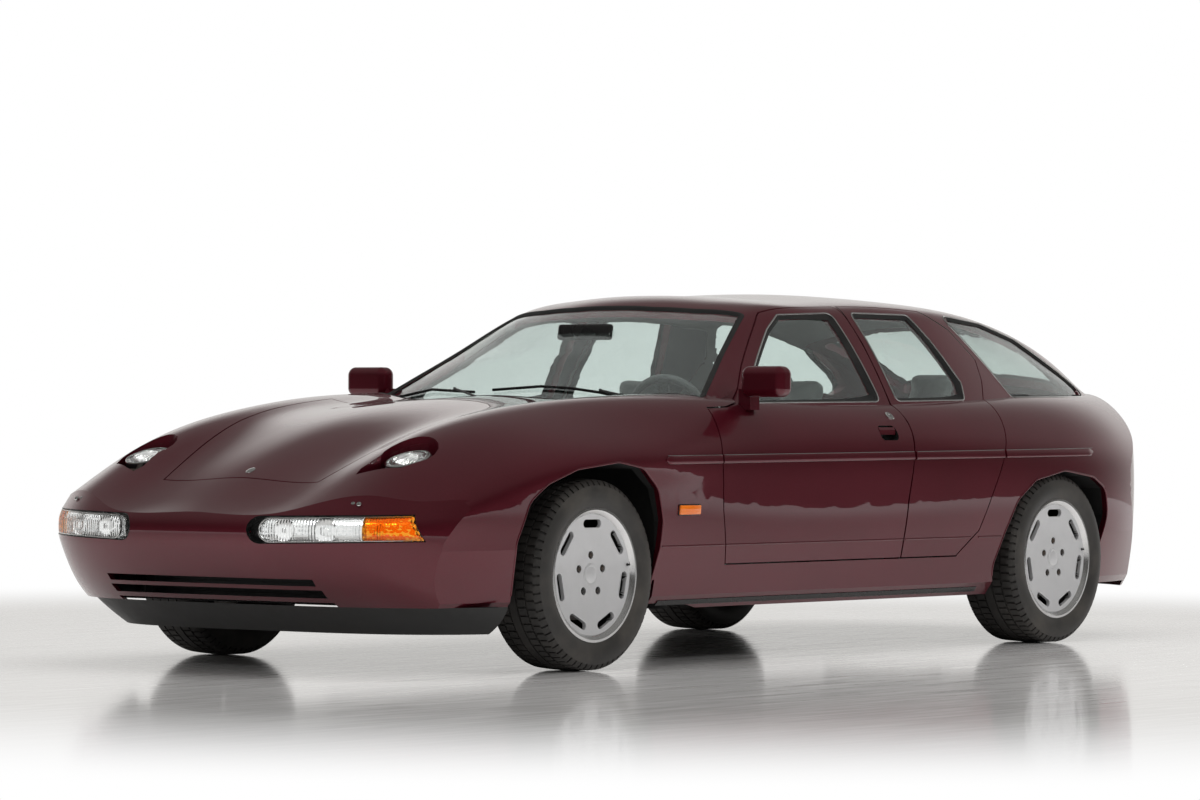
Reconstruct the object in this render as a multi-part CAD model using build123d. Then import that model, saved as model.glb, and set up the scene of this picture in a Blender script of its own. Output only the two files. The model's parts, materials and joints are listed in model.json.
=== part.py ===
from build123d import *
import math
import os

# A four-door, five-opening sports sedan, built as separate pieces.
# Millimetres. +X is forward, +Y is the car's left, +Z is up.
# The origin is on the ground, midway between nose and tail.

# ---------------------------------------------------------------- driving dimensions
WHEELBASE = 2750.0
LENGTH = 4770.0
TRACK_FRONT = 1552.0
TRACK_REAR = 1546.0

FRONT_AXLE_X = WHEELBASE / 2
REAR_AXLE_X = -WHEELBASE / 2

PLAN_HALF_WIDTH = 925.0      # half width of the plan outline that rounds nose and tail
NOSE_POWER = 3.5             # squareness of the nose in plan
TAIL_POWER = 2.7             # squareness of the tail in plan

SKIN = 22.0                  # thickness of wings, bonnet, bumpers and quarters with their inner frames
DOOR_SKIN = 70.0             # whole door, outer skin to trim
ROOF_SKIN = 38.0             # roof and window frames with their lining
PANEL_GAP = 5.0              # gap round everything that opens
RUNNING_GAP = 0.3            # gap at hinges, pins and shafts

# ---------------------------------------------------------------- places and sizes of details
STEER_SWEEP = 345.0          # radius that a steered tyre sweeps about its upright
LINER = 5.0                  # thickness of the wheelhouses
AXLE_Z_FRONT, AXLE_Z_REAR = 315.5, 313.5  # axle heights, the radii of the standing tyres
TYRE_W_FRONT, TYRE_W_REAR = 225.0, 245.0
RIM_R = 212.0                # rim edge that the tyre grips
HUB_FACE = 54.5              # where brake disc and wheel meet, outwards of the wheel's middle
WHEEL_SLOTS = 7              # cooling slots of a wheel and the circle of their middles
SLOT_CIRCLE = 168.0
WHEEL_NUTS = 5               # nut holes, their circle and their radius
NUT_CIRCLE = 65.0
NUT_R = 13.0
UPRIGHT_R = 62.0             # inner face of the uprights, round about the steering axis
JOINT_R = 24.0               # housings of the lower ball joints
MEMBER_Y = 440.0             # inner ends of the suspension links
HANDLE_X, HANDLE_Y, HANDLE_Z = -285.0, 882.0, 779.0  # middle of the flush door handle
BUMPER_SEAM_Z = 403.0        # seam between bumper and wings along the flanks
# seam between bumper and wings across the nose, in plan
NOSE_SEAM = [(2500, 0), (2500, 1000), (2179, 1000), (2179, 865), (2168, 694), (2133, 338), (2131, 0)]
# half width, low and high edge of each slot
GRILLE = [(452, 289, 311), (464, 250, 276), (474, 200, 235)]
CHIN_TOP, CHIN_BACK, CHIN_LOW = 222.0, 1795.0, 132.0  # black chin: upper edge, rear end, lower edge
LAMP_INNER, LAMP_SEAM, LAMP_OUTER = 302.0, 658.0, 788.0  # front lamp units, across the nose
LAMP_LOW, LAMP_TOP = 427.0, 511.0  # front lamp units, lower and upper edge
# pop-up lamp: middle of its rim and its radius
LAMP_X, LAMP_Y, LAMP_Z, LAMP_R = 1955.0, 575.0, 668.0, 78.0
LAMP_LEAN = 20.0             # degrees by which the lens faces forward of straight up
LENS_R, LENS_BULGE = 190.0, 16.0  # dome of its lens
PIVOT_X, PIVOT_Y, PIVOT_Z = 2060.0, 545.0, 640.0  # pin it tips up on
WELL_FLOOR = 572.0           # floor of the well it lies in
TAIL_PIPE_Y = 260.0          # tail pipes, left and right of the middle
FLOOR_LOW, FLOOR_TOP = 204, 214
TUNNEL_TOP = 380             # also the foot of the console
BOOT_LOW, BOOT_TOP = 426, 434  # boot floor
FIREWALL_X, HEEL_X = 900, -1240  # bulkhead before the dashboard, step up to the boot
JACK_PADS = [(820, -700), (820, 700), (-760, -700), (-760, 700)]
FRONT_SEAT, REAR_SEAT = (0.0, 370.0, 240.0), (-830.0, 372.0, 270.0)  # x, y and base height
SEAT_LEAN = -16              # degrees that backs and head parts lean
WHEEL_HUB = (300.0, 370.0, 787.0)  # middle of the steering wheel
BLADE_R = 5.0                # wiper blades


# ---------------------------------------------------------------- curves
def guide(points):
    """A smooth curve through (x, value) points, as a natural cubic spline."""
    pts = sorted(points)
    xs = [p[0] for p in pts]
    ys = [p[1] for p in pts]
    n = len(xs)
    h = [xs[i + 1] - xs[i] for i in range(n - 1)]
    below, diag, right = [0.0] * n, [1.0] * n, [0.0] * n
    above = [0.0] * n
    for i in range(1, n - 1):
        below[i], diag[i], above[i] = h[i - 1], 2 * (h[i - 1] + h[i]), h[i]
        right[i] = 6 * ((ys[i + 1] - ys[i]) / h[i] - (ys[i] - ys[i - 1]) / h[i - 1])
    for i in range(1, n):
        w = below[i] / diag[i - 1]
        diag[i] -= w * above[i - 1]
        right[i] -= w * right[i - 1]
    m = [0.0] * n
    for i in range(n - 1, -1, -1):
        after = above[i] * m[i + 1] if i < n - 1 else 0.0
        m[i] = (right[i] - after) / diag[i]

    def at(x):
        x = min(max(x, xs[0]), xs[-1])
        i = max(k for k in range(n - 1) if xs[k] <= x)
        a, b = xs[i + 1] - x, x - xs[i]
        return (
            (m[i] * a**3 + m[i + 1] * b**3) / (6 * h[i])
            + (ys[i] / h[i] - m[i] * h[i] / 6) * a
            + (ys[i + 1] / h[i] - m[i + 1] * h[i] / 6) * b
        )

    return at


# Lower body: each guide is (x, half width or height) from tail to nose.
crease_y = guide(
    [
        (-2450, 640), (-2200, 740), (-1900, 835), (-1375, 885), (-700, 890), (700, 890), (1375, 893),
        (1850, 872), (2165, 812), (2450, 740),
    ]
)
waist_y = guide(
    [
        (-2450, 690), (-2200, 770), (-1900, 860), (-1375, 908), (-700, 908), (700, 906), (1375, 914),
        (1700, 900), (1950, 872), (2165, 832), (2450, 760),
    ]
)
waist_z = guide(
    [(-2450, 560), (-1375, 590), (0, 580), (1375, 600), (1800, 560), (2165, 490), (2450, 432)]
)
flank_y = guide(
    [
        (-2450, 640), (-2200, 725), (-1900, 815), (-1375, 872), (-700, 888), (0, 888), (700, 888),
        (1375, 885), (1650, 862), (1864, 828), (2000, 805), (2165, 775), (2450, 720),
    ]
)
flank_z = guide(
    [
        (-2450, 740), (-1900, 765), (-1375, 770), (0, 765), (700, 755), (1375, 735), (1650, 703),
        (1864, 655), (2000, 610), (2165, 545), (2450, 455),
    ]
)
shoulder_y = guide(
    [
        (-2450, 500), (-2200, 600), (-1900, 690), (-1375, 765), (-700, 800), (0, 806), (700, 800),
        (1000, 770), (1375, 715), (1650, 695), (1864, 670), (2000, 662), (2165, 660), (2450, 620),
    ]
)
shoulder_z = guide(
    [
        (-2450, 870), (-1900, 882), (-1375, 880), (-700, 868), (0, 864), (700, 864), (1000, 857),
        (1375, 832), (1650, 793), (1864, 740), (2000, 686), (2165, 602), (2450, 474),
    ]
)
crown_y = guide(
    [
        (-2450, 280), (-1375, 430), (0, 470), (700, 470), (1375, 440), (1864, 380), (2165, 360),
        (2450, 330),
    ]
)
crown_z = guide(
    [
        (-2450, 905), (-1900, 920), (-1375, 915), (0, 900), (700, 897), (1000, 885), (1340, 858),
        (1646, 805), (1802, 758), (1967, 695), (2150, 613), (2300, 542), (2450, 484),
    ]
)
spine_z = guide(
    [
        (-2450, 912), (-1900, 930), (-1375, 925), (0, 910), (700, 908), (1000, 898), (1340, 872),
        (1646, 818), (1802, 770), (1967, 705), (2150, 619), (2300, 546), (2450, 488),
    ]
)
sill_y = guide(
    [
        (-2450, 600), (-2200, 700), (-1900, 790), (-1375, 850), (700, 852), (1375, 850), (1850, 820),
        (2165, 760), (2450, 700),
    ]
)
CREASE_Z = 405.0
SILL_Z = 236.0
FLOOR_Z = 190.0

# Greenhouse
belt_y = guide(
    [
        (-2500, 440), (-2330, 490), (-2200, 545), (-2000, 610), (-1700, 668), (-1366, 712),
        (-1000, 748), (-500, 770), (0, 776), (433, 768), (603, 758), (900, 735), (1150, 715),
    ]
)
rail_y = guide(
    [
        (-2500, 390), (-2230, 448), (-1980, 480), (-1618, 500), (-1300, 525), (-1000, 548), (-600, 562),
        (-200, 560), (62, 537), (300, 628), (603, 758), (900, 800), (1150, 815),
    ]
)
rail_z = guide(
    [
        (-2500, 800), (-2230, 925), (-1980, 1042), (-1618, 1156), (-1300, 1208), (-1000, 1228),
        (-600, 1234), (-200, 1226), (62, 1204), (300, 1066), (603, 884), (900, 700), (1150, 560),
    ]
)
ridge_z = guide(
    [
        (-2500, 848), (-2330, 945), (-2150, 1040), (-1950, 1126), (-1650, 1217), (-1300, 1264),
        (-900, 1283), (-500, 1283), (-150, 1269), (150, 1238), (300, 1162), (450, 1080), (603, 993),
        (775, 895), (900, 824), (1150, 680),
    ]
)
BELT_Z = 885.0
TUCK_Z = 850.0
CABIN_FOOT_Z = 700.0

# Plan outlines of nose and tail by height
nose_x = guide([
    (100, 2060), (160, 2120), (223, 2209), (308, 2304), (390, 2360), (430, 2380), (467, 2385),
    (500, 2377), (530, 2350), (560, 2318), (600, 2285), (700, 2210), (1000, 2050),
])
tail_x = guide(
    [
        (100, -2290), (200, -2325), (300, -2350), (400, -2370), (500, -2382), (600, -2385),
        (700, -2376), (800, -2352), (900, -2310), (1000, -2240),
    ]
)


def inset(points, depths):
    """Moves each (y, z) point of a half section inwards, square to its run, by its own depth."""
    moved = []
    for i, (y, z) in enumerate(points):
        before = points[max(i - 1, 0)]
        after = points[i + 1] if i + 1 < len(points) else (-points[i - 1][0], points[i - 1][1])
        dy, dz = after[0] - before[0], after[1] - before[1]
        size = math.hypot(dy, dz)
        moved.append((y - depths[i] * dz / size, z + depths[i] * dy / size))
    return moved


LOWER_STATIONS = [
    -2450, -2330, -2200, -2050, -1900, -1750, -1560, -1375, -1150, -900, -600, -300, 0, 300, 600, 800,
    1000, 1200, 1375, 1520, 1650, 1760, 1864, 1960, 2060, 2165, 2250, 2350, 2450,
]
CABIN_STATIONS = [
    -2500, -2400, -2300, -2200, -2090, -1980, -1860, -1740, -1618, -1460, -1300, -1100, -900, -700,
    -500, -300, -150, -20, 80, 180, 300, 420, 540, 660, 775, 900, 1020, 1150,
]


def fractions(points):
    """Chord-length parameters of a row of points, from 0 to 1."""
    lengths = [math.dist(a, b) for a, b in zip(points, points[1:])]
    total = sum(lengths)
    return [sum(lengths[:i]) / total for i in range(len(points))]


def lower_half(x):
    """Half section of the lower body from the crease up to the spine, as (y, z) points."""
    return [
        (crease_y(x), CREASE_Z),
        ((crease_y(x) + 2 * waist_y(x)) / 3 + 1, (CREASE_Z + waist_z(x)) / 2 + 10),
        (waist_y(x), waist_z(x)),
        (flank_y(x), flank_z(x)),
        (shoulder_y(x), shoulder_z(x)),
        (crown_y(x), crown_z(x)),
        (0, spine_z(x)),
    ]


def full(half):
    """A half section from the left side to the centre, carried on to the right side."""
    return half + [(-y, z) for y, z in reversed(half[:-1])]


LOWER_PARAMETERS = fractions(full(lower_half(0)))


def side_depth(x):
    """Thickness of the body side: thick at the doors, thin at the wings."""
    stops = [
        (-2450, SKIN), (-1250, SKIN), (-1000, DOOR_SKIN), (600, DOOR_SKIN), (850, SKIN), (2450, SKIN),
    ]
    for (a, low), (b, high) in zip(stops, stops[1:]):
        if x <= b:
            return low + (high - low) * (x - a) / (b - a)
    return SKIN


def lower_section(x, extra=None):
    """Section of the lower body; with extra it is the space inside the skin, open below."""
    half = lower_half(x)
    side = 0.0
    if extra is not None:
        side = side_depth(x) + extra
        top = SKIN + extra
        half = inset(half, [side, side, side, side, (side + top) / 2, top, top])
        half[0] = (crease_y(x) - side, CREASE_Z)
    upper = [(x, y, z) for y, z in full(half)]
    foot_y = sill_y(x) - side
    if extra is None:
        keel = [
            (x, -foot_y, SILL_Z), (x, -foot_y + 40, FLOOR_Z), (x, foot_y - 40, FLOOR_Z),
            (x, foot_y, SILL_Z),
        ]
    else:
        keel = [(x, -foot_y, SILL_Z), (x, -foot_y, 100), (x, foot_y, 100), (x, foot_y, SILL_Z)]
    edges = [Edge.make_spline(upper, parameters=LOWER_PARAMETERS)]
    edges += [Edge.make_line(a, b) for a, b in zip([upper[-1]] + keel, keel + [upper[0]])]
    return Wire(edges)


def cabin_points(x, depth=0.0):
    """Half section of the greenhouse from its base up to the ridge, set in by a depth."""
    slope = (ridge_z(x + 20) - ridge_z(x - 20)) / 40
    drop = depth * math.sqrt(1 + slope * slope)
    yb, yr, zr, zc = belt_y(x), rail_y(x), rail_z(x), ridge_z(x)
    lean = (yb - yr) / max(zr - BELT_Z, 150.0)
    yb, yr, zr, zc = yb - 1.15 * depth, yr - (1.15 - max(lean, 0.0)) * depth, zr - drop, zc - drop
    if zr < TUCK_Z + 60:  # ahead of the screen's foot the side lies inside the lower body
        base = (yr + 4, min(TUCK_Z, zr - 45))
    else:
        base = (yb + (BELT_Z - TUCK_Z) * lean, TUCK_Z)
    side = (base[0] - yr, base[1] - zr)
    size = math.hypot(*side)
    down = min(60.0, 0.3 * size)
    bulge = 10.0 * min(1.0, size / 300)
    low = (yr + side[0] * 0.72 + bulge * 0.8, zr + side[1] * 0.72)
    mid = (yr + side[0] * 0.42 + bulge, zr + side[1] * 0.42)
    start = (yr + side[0] / size * down, zr + side[1] / size * down)

    def roof(share):
        return (yr * share, zc - (zc - zr) * share**2)

    end = roof(0.88)
    corner = (0.25 * start[0] + 0.5 * yr + 0.25 * end[0], 0.25 * start[1] + 0.5 * zr + 0.25 * end[1])
    return [base, low, mid, start, corner, end, roof(0.6), roof(0.3), (0, zc)]


CABIN_PARAMETERS = fractions(full(cabin_points(-500)))


def cabin_section(x, depth):
    half = cabin_points(x, depth)
    upper = [(x, y, z) for y, z in full(half)]
    foot_z = min(CABIN_FOOT_Z, half[0][1] - 60) - depth
    left, right = upper[0], upper[-1]
    low_right, low_left = (x, right[1], foot_z), (x, left[1], foot_z)
    edges = [
        Edge.make_spline(upper, parameters=CABIN_PARAMETERS), Edge.make_line(right, low_right),
        Edge.make_line(low_right, low_left), Edge.make_line(low_left, left),
    ]
    return Wire(edges)


def lower_body(extra=None):
    return Solid.make_loft([lower_section(x, extra) for x in LOWER_STATIONS])


def greenhouse(depth=0.0):
    stations = [CABIN_STATIONS[0] - depth] + CABIN_STATIONS[1:-1] + [CABIN_STATIONS[-1] + depth]
    return Solid.make_loft([cabin_section(x, depth) for x in stations])


def rounded_end(centre, reach, power, half_width, z, steps=12):
    """Half of a superellipse, as the plan of the nose or the tail."""
    points = []
    for i in range(-steps, steps + 1):
        t = math.pi / 2 * i / steps
        s, c = math.sin(t), math.cos(t)
        y = half_width * math.copysign(abs(s) ** (2 / power), s)
        points.append((centre + reach * c ** (2 / power), y, z))
    return points


def plan_ends(z, depth, half_width=PLAN_HALF_WIDTH):
    """The nose and the tail of the waterline at height z, as points running on from each other."""
    nose = rounded_end(FRONT_AXLE_X, nose_x(z) - depth - FRONT_AXLE_X, NOSE_POWER, half_width, z)
    tail = rounded_end(REAR_AXLE_X, tail_x(z) + depth - REAR_AXLE_X, TAIL_POWER, half_width, z)
    return nose, tail[::-1]


NOSE_PARAMETERS, TAIL_PARAMETERS = (fractions(points) for points in plan_ends(500.0, 0.0))


def plan_outline(z, depth, half_width=PLAN_HALF_WIDTH):
    """Waterline of the whole body at height z: square sides, rounded nose and tail."""
    nose, tail = plan_ends(z, depth, half_width)
    front = Edge.make_spline(nose, parameters=NOSE_PARAMETERS)
    back = Edge.make_spline(tail, parameters=TAIL_PARAMETERS)
    return Wire([front, Edge.make_line(nose[-1], tail[0]), back, Edge.make_line(tail[-1], nose[0])])


WATERLINES = [90, 160, 223, 308, 390, 430, 467, 500, 530, 560, 620, 700, 800, 900, 1000, 1330]


def plan_block(depth=0.0):
    return Solid.make_loft([plan_outline(z, depth) for z in WATERLINES])


# ---------------------------------------------------------------- cutting shapes
def opening(prism, hinges):
    """Cutters for a panel's opening: the panel gap all round, closing to a running gap at the hinges."""
    blocks = [box(*sizes) for sizes in hinges]
    return [prism(RUNNING_GAP), prism(PANEL_GAP).cut(*blocks)]


def grown(points, distance):
    """Moves a closed outline outwards by a distance, corner by corner."""
    if not distance:
        return list(points)
    area = sum(a[0] * b[1] - b[0] * a[1] for a, b in zip(points, points[1:] + points[:1]))
    turn = 1 if area > 0 else -1
    out = []
    for i, p in enumerate(points):
        a, b = points[i - 1], points[(i + 1) % len(points)]
        n1 = normal(a, p, turn)
        n2 = normal(p, b, turn)
        mx, my = n1[0] + n2[0], n1[1] + n2[1]
        scale = distance * 2 / max(mx * mx + my * my, 0.6)
        out.append((p[0] + mx * scale, p[1] + my * scale))
    return out


def normal(a, b, turn):
    size = math.dist(a, b)
    return ((b[1] - a[1]) / size * turn, -(b[0] - a[0]) / size * turn)


def mirrored(shape):
    return shape.mirror(Plane.XZ)


def side_prism(outline, low=300.0, high=1100.0, rounding=0.0):
    """Prism through the left side of the car from an (x, z) outline."""
    face = Face(Wire.make_polygon([(x, low, z) for x, z in outline], close=True))
    if rounding:
        face = face.fillet_2d(rounding, face.vertices())
    return Solid.extrude(face, Vector(0, high - low, 0))


def plan_prism(outline, low=300.0, high=1400.0, rounding=0.0):
    """Prism along Z from an (x, y) outline."""
    face = Face(Wire.make_polygon([(x, y, low) for x, y in outline], close=True))
    if rounding:
        face = face.fillet_2d(rounding, face.vertices())
    return Solid.extrude(face, Vector(0, 0, high - low))


def drafted_prism(seam, gap=0.0, near=1100.0, far=536.0):
    """Door-shaped cutter. Each seam point is (x, y, z, draft): the seam lies at y, and the
    cut face leans by draft millimetres in x for each millimetre inwards."""
    far -= gap
    outer = grown([(x - k * (near - y), z) for x, y, z, k in seam], gap)
    inner = grown([(x + k * (y - far), z) for x, y, z, k in seam], gap)
    wires = [
        Wire.make_polygon([(x, y, z) for x, z in ring], close=True)
        for y, ring in ((near, outer), (far, inner))
    ]
    return Solid.make_loft(wires, ruled=True)


def box(x0, x1, y0, y1, z0, z1):
    return Solid.make_box(x1 - x0, y1 - y0, z1 - z0, Plane((x0, y0, z0)))


def rod(start, end, radius):
    a, b = Vector(*start), Vector(*end)
    return Solid.make_cylinder(radius, (b - a).length, Plane(a, z_dir=b - a))


def disc_y(x, y, z, radius, width):
    """Cylinder lying along Y, centred on y."""
    return Solid.make_cylinder(radius, width, Plane((x, y - width / 2, z), z_dir=(0, 1, 0)))


# ---------------------------------------------------------------- seams
# Doors, as (x, y, z, draft) round the outline
FRONT_DOOR = [
    (-364, 880, 338, 0.10), (-380, 904, 541, 0.10), (-421, 896, 754, 0.12), (-434, 857, 820, 0.14),
    (-444, 776, 885, 0.18), (-443, 719, 990, 0.22), (-440, 654, 1100, 0.25), (-432, 582, 1200, 0.30),
    (-420, 540, 1290, 0.30),
    (-150, 540, 1290, 0), (-30, 540, 1226, 0), (40, 560, 1188, 0), (300, 640, 1012, 0),
    (430, 740, 915, 0), (480, 740, 880, 0), (560, 770, 866, 0),
    (668, 840, 862, 0), (722, 905, 700, 0), (706, 900, 520, 0), (661, 860, 338, 0),
]
REAR_DOOR = [
    (-372, 880, 338, -0.12), (-388, 904, 541, -0.15), (-429, 896, 754, -0.18), (-442, 857, 820, -0.20),
    (-452, 776, 885, -0.25), (-451, 719, 990, -0.30), (-448, 654, 1100, -0.35),
    (-440, 582, 1200, -0.40), (-428, 540, 1290, -0.40),
    (-880, 540, 1290, 0), (-935, 530, 1237, 0), (-1090, 560, 1158, 0), (-1176, 640, 1048, 0),
    (-1150, 720, 970, 0),
    (-1099, 780, 899, 0), (-1018, 870, 753, 0), (-916, 900, 572, 0), (-841, 890, 427, 0),
    (-723, 870, 346, 0), (-715, 870, 338, 0),
]
FRONT_GLASS = [(430, 884), (-387, 894), (-352, 1203), (-60, 1192), (40, 1140)]
REAR_GLASS = [(-500, 896), (-960, 902), (-985, 960), (-905, 1120), (-850, 1205), (-480, 1206)]
QUARTER_GLASS = [(-1338, 914), (-2030, 918), (-1900, 1010), (-1650, 1130), (-1400, 1186), (-1100, 1210)]

BONNET = [
    (2126, 0), (2130, 338), (1908, 388), (1650, 444), (1466, 475), (1090, 525), (1125, 350),
    (1140, 180), (1145, 0),
]
SCREEN = [
    (846, 0), (835, 200), (795, 400), (720, 600), (622, 738), (560, 712), (330, 612), (85, 520),
    (140, 350), (172, 180), (180, 0),
]
SCUTTLE = [(900, 0), (900, 505), (722, 505), (752, 400), (785, 200), (792, 0)]
TAILGATE = [
    (-1640, 0), (-1640, 300), (-1645, 470), (-1980, 454), (-2230, 430), (-2262, 400), (-2285, 200),
    (-2290, 0),
]
TAIL_GLASS = [
    (-1690, 0), (-1690, 300), (-1695, 425), (-1980, 405), (-2190, 372), (-2215, 200), (-2222, 0),
]
FRONT_ARCH = [
    (1787, 422), (1735, 559), (1652, 617), (1515, 663), (1306, 685), (1174, 664), (1080, 596),
    (1043, 488), (1042, 398), (1078, 150), (1740, 150),
]
REAR_ARCH = [
    (-960, 289), (-1021, 427), (-1078, 533), (-1194, 607), (-1391, 640), (-1593, 615), (-1694, 570),
    (-1735, 471), (-1700, 317), (-1690, 150), (-1000, 150),
]


# Where the hinges reach across the gap, as (x0, x1, y0, y1, z0, z1) on the left side
FRONT_DOOR_HINGES = [(640, 760, 800, 872, 430, 475), (640, 760, 800, 872, 640, 685)]
REAR_DOOR_HINGES = [(-1100, -800, 800, 872, 480, 525), (-1100, -800, 800, 872, 650, 695)]
BONNET_HINGES = [(1075, 1125, 430, 500, 830, 857)]
TAILGATE_HINGES = [(-1660, -1620, 300, 360, 1165, 1185)]


def both(half):
    """A plan outline given for the left half, closed over the right half."""
    return half + [(x, -y) for x, y in reversed(half) if y > 0]


def make_shell():
    outer = (lower_body() + greenhouse()) & plan_block()
    cavity = (lower_body(0.0) + greenhouse(ROOF_SKIN)) & plan_block(SKIN)
    return outer, cavity


def arches(inner_front=480.0, inner_rear=600.0, thickness=0.0):
    """What the four wheel arches take out of everything, with the sweep of the steered wheels."""
    front = side_prism(grown(FRONT_ARCH, thickness), inner_front - thickness, 1100)
    rear = side_prism(grown(REAR_ARCH, thickness), inner_rear - thickness, 1100)
    sweep = Solid.make_cylinder(
        STEER_SWEEP + thickness, 520, Plane((FRONT_AXLE_X, TRACK_FRONT / 2, 140)),
    )
    sweep = sweep & box(800, 1900, inner_front - thickness, 865 + thickness, 100, 660 + thickness)
    left = front + rear + sweep
    return left + mirrored(left)


def wheelhouses():
    """Thin liners that close the four arches off from the inside of the body."""
    liner = arches(thickness=LINER).cut(arches())
    ways = [
        box(x - 200, x + 200, side * 545 - 80, side * 545 + 80, 180, 270)
        for x in (FRONT_AXLE_X, REAR_AXLE_X) for side in (-1, 1)
    ]
    liner = liner.cut(*ways)
    inside = lower_body(RUNNING_GAP) & plan_block(SKIN + RUNNING_GAP)
    return liner & inside & box(-2500, 2500, -1000, 1000, 205, 900)


# ---------------------------------------------------------------- wheels
def tyre(axle_x, track, radius, width, rim):
    """Tyre carcass round its well; the tread blocks are left to the looks."""
    half = width / 2
    outside = [
        (rim - 6, half - 22), (rim + 18, half - 6), ((rim + radius) / 2, half), (radius - 22, half - 6),
        (radius - 4, half - 22),
    ]
    inside = [(rim - 6, half - 40), (rim + 20, half - 34), (radius - 26, half - 26)]
    profile = [(r, -y) for r, y in outside] + [(radius, 0)] + outside[::-1] + inside + [
        (r, -y) for r, y in inside[::-1]
    ]
    return ring(axle_x, track / 2, radius, profile)


def ring(axle_x, centre_y, height, profile):
    """Revolves an (r, y) profile about the wheel axle; y grows outwards."""
    face = Face(Wire.make_polygon([(axle_x, centre_y + y, height + r) for r, y in profile], close=True))
    return Solid.revolve(face, 360, Axis((axle_x, 0, height), (0, 1, 0)))


def wheel(axle_x, track, radius, width, rim):
    half = width / 2
    out = half - 10
    seat = rim - 6
    profile = [
        (seat, half - 22), (rim + 9, half - 12), (rim + 9, out), (rim + 1, out + 1), (rim - 8, out - 4),
        (rim - 14, out - 12),
        (150, out - 15), (90, out - 18), (38, out - 19), (36, out - 17), (0, out - 16), (0, HUB_FACE),
        (80, HUB_FACE), (90, out - 34), (rim - 30, out - 26),
        (rim - 24, out - 60), (rim - 20, -half + 20), (rim - 12, -half + 8), (rim + 9, -half + 8),
        (rim + 9, -half + 12), (seat, -half + 22),
    ]
    body = ring(axle_x, track / 2, radius, profile)
    cuts = []
    for i in range(WHEEL_SLOTS):
        angle = math.radians(90 + i * 360 / WHEEL_SLOTS)
        across = Vector(-math.sin(angle), 0, math.cos(angle))
        centre = Vector(
            axle_x + SLOT_CIRCLE * math.cos(angle), track / 2 + out - 80,
            radius + SLOT_CIRCLE * math.sin(angle),
        )
        spot = Plane(centre, x_dir=across, z_dir=(0, 1, 0))
        cuts.append(Solid.extrude((spot * SlotOverall(92, 27)).face(), Vector(0, 120, 0)))
    for i in range(WHEEL_NUTS):
        angle = math.radians(90 + i * 360 / WHEEL_NUTS)
        nut = (
            axle_x + NUT_CIRCLE * math.cos(angle), track / 2 + out - 26,
            radius + NUT_CIRCLE * math.sin(angle),
        )
        cuts.append(Solid.make_cylinder(NUT_R, 60, Plane(nut, z_dir=(0, 1, 0))))
    return body.cut(*cuts)


def brake_disc(axle_x, track, radius, size=150.0):
    y = track / 2
    hat = [
        (0, HUB_FACE), (62, HUB_FACE), (70, 45), (70, 13), (size, 13), (size, -13), (58, -13), (58, 35),
        (0, 35),
    ]
    return ring(axle_x, y, radius, hat)


# ---------------------------------------------------------------- body panels
def sound(shape):
    """The shape itself when it is sound, else the repaired one."""
    return shape if shape.is_valid else shape.fix()


def cut_all(shape, cutters):
    for cutter in cutters:
        shape = sound(shape.cut(cutter))
    return shape


def fused(shapes):
    first, *others = shapes
    return first.fuse(*others)


def pair(shape):
    return Compound(list(shape.solids()) + list(mirrored(shape).solids()))


def side_parts(outer, cavity, arch):
    """Doors and their glass, on both sides."""
    parts = {}
    for name, seam, glass in (
        ("front_door", FRONT_DOOR, FRONT_GLASS), ("rear_door", REAR_DOOR, REAR_GLASS),
    ):
        door = (outer & drafted_prism(seam)).cut(cavity)
        door = cut_all(door, arch + [side_prism(glass, rounding=24)])
        if name == "front_door":
            door = door.cut(handle_recess())
        pane = glass_sheet(side_prism(grown(glass, -0.6), rounding=23.5))
        for side, shape in ((f"{name}_left", door), (f"{name}_glass_left", pane)):
            parts[side] = shape
            parts[side.replace("left", "right")] = mirrored(shape)
    return parts


def handle_recess():
    """Hollow of the flush handle, leaving the paddle standing in it."""
    hollow = box(
        HANDLE_X - 54, HANDLE_X + 54, HANDLE_Y - 24, HANDLE_Y + 60, HANDLE_Z - 26, HANDLE_Z + 26,
    )
    paddle = box(HANDLE_X - 48, HANDLE_X + 48, HANDLE_Y - 24, HANDLE_Y - 4, HANDLE_Z - 6, HANDLE_Z + 20)
    return hollow.fillet(20, hollow.edges().filter_by(Axis.Y)) - paddle


def glass_sheet(prism):
    return (greenhouse(7.0) & prism).cut(greenhouse(12.0))


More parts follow.
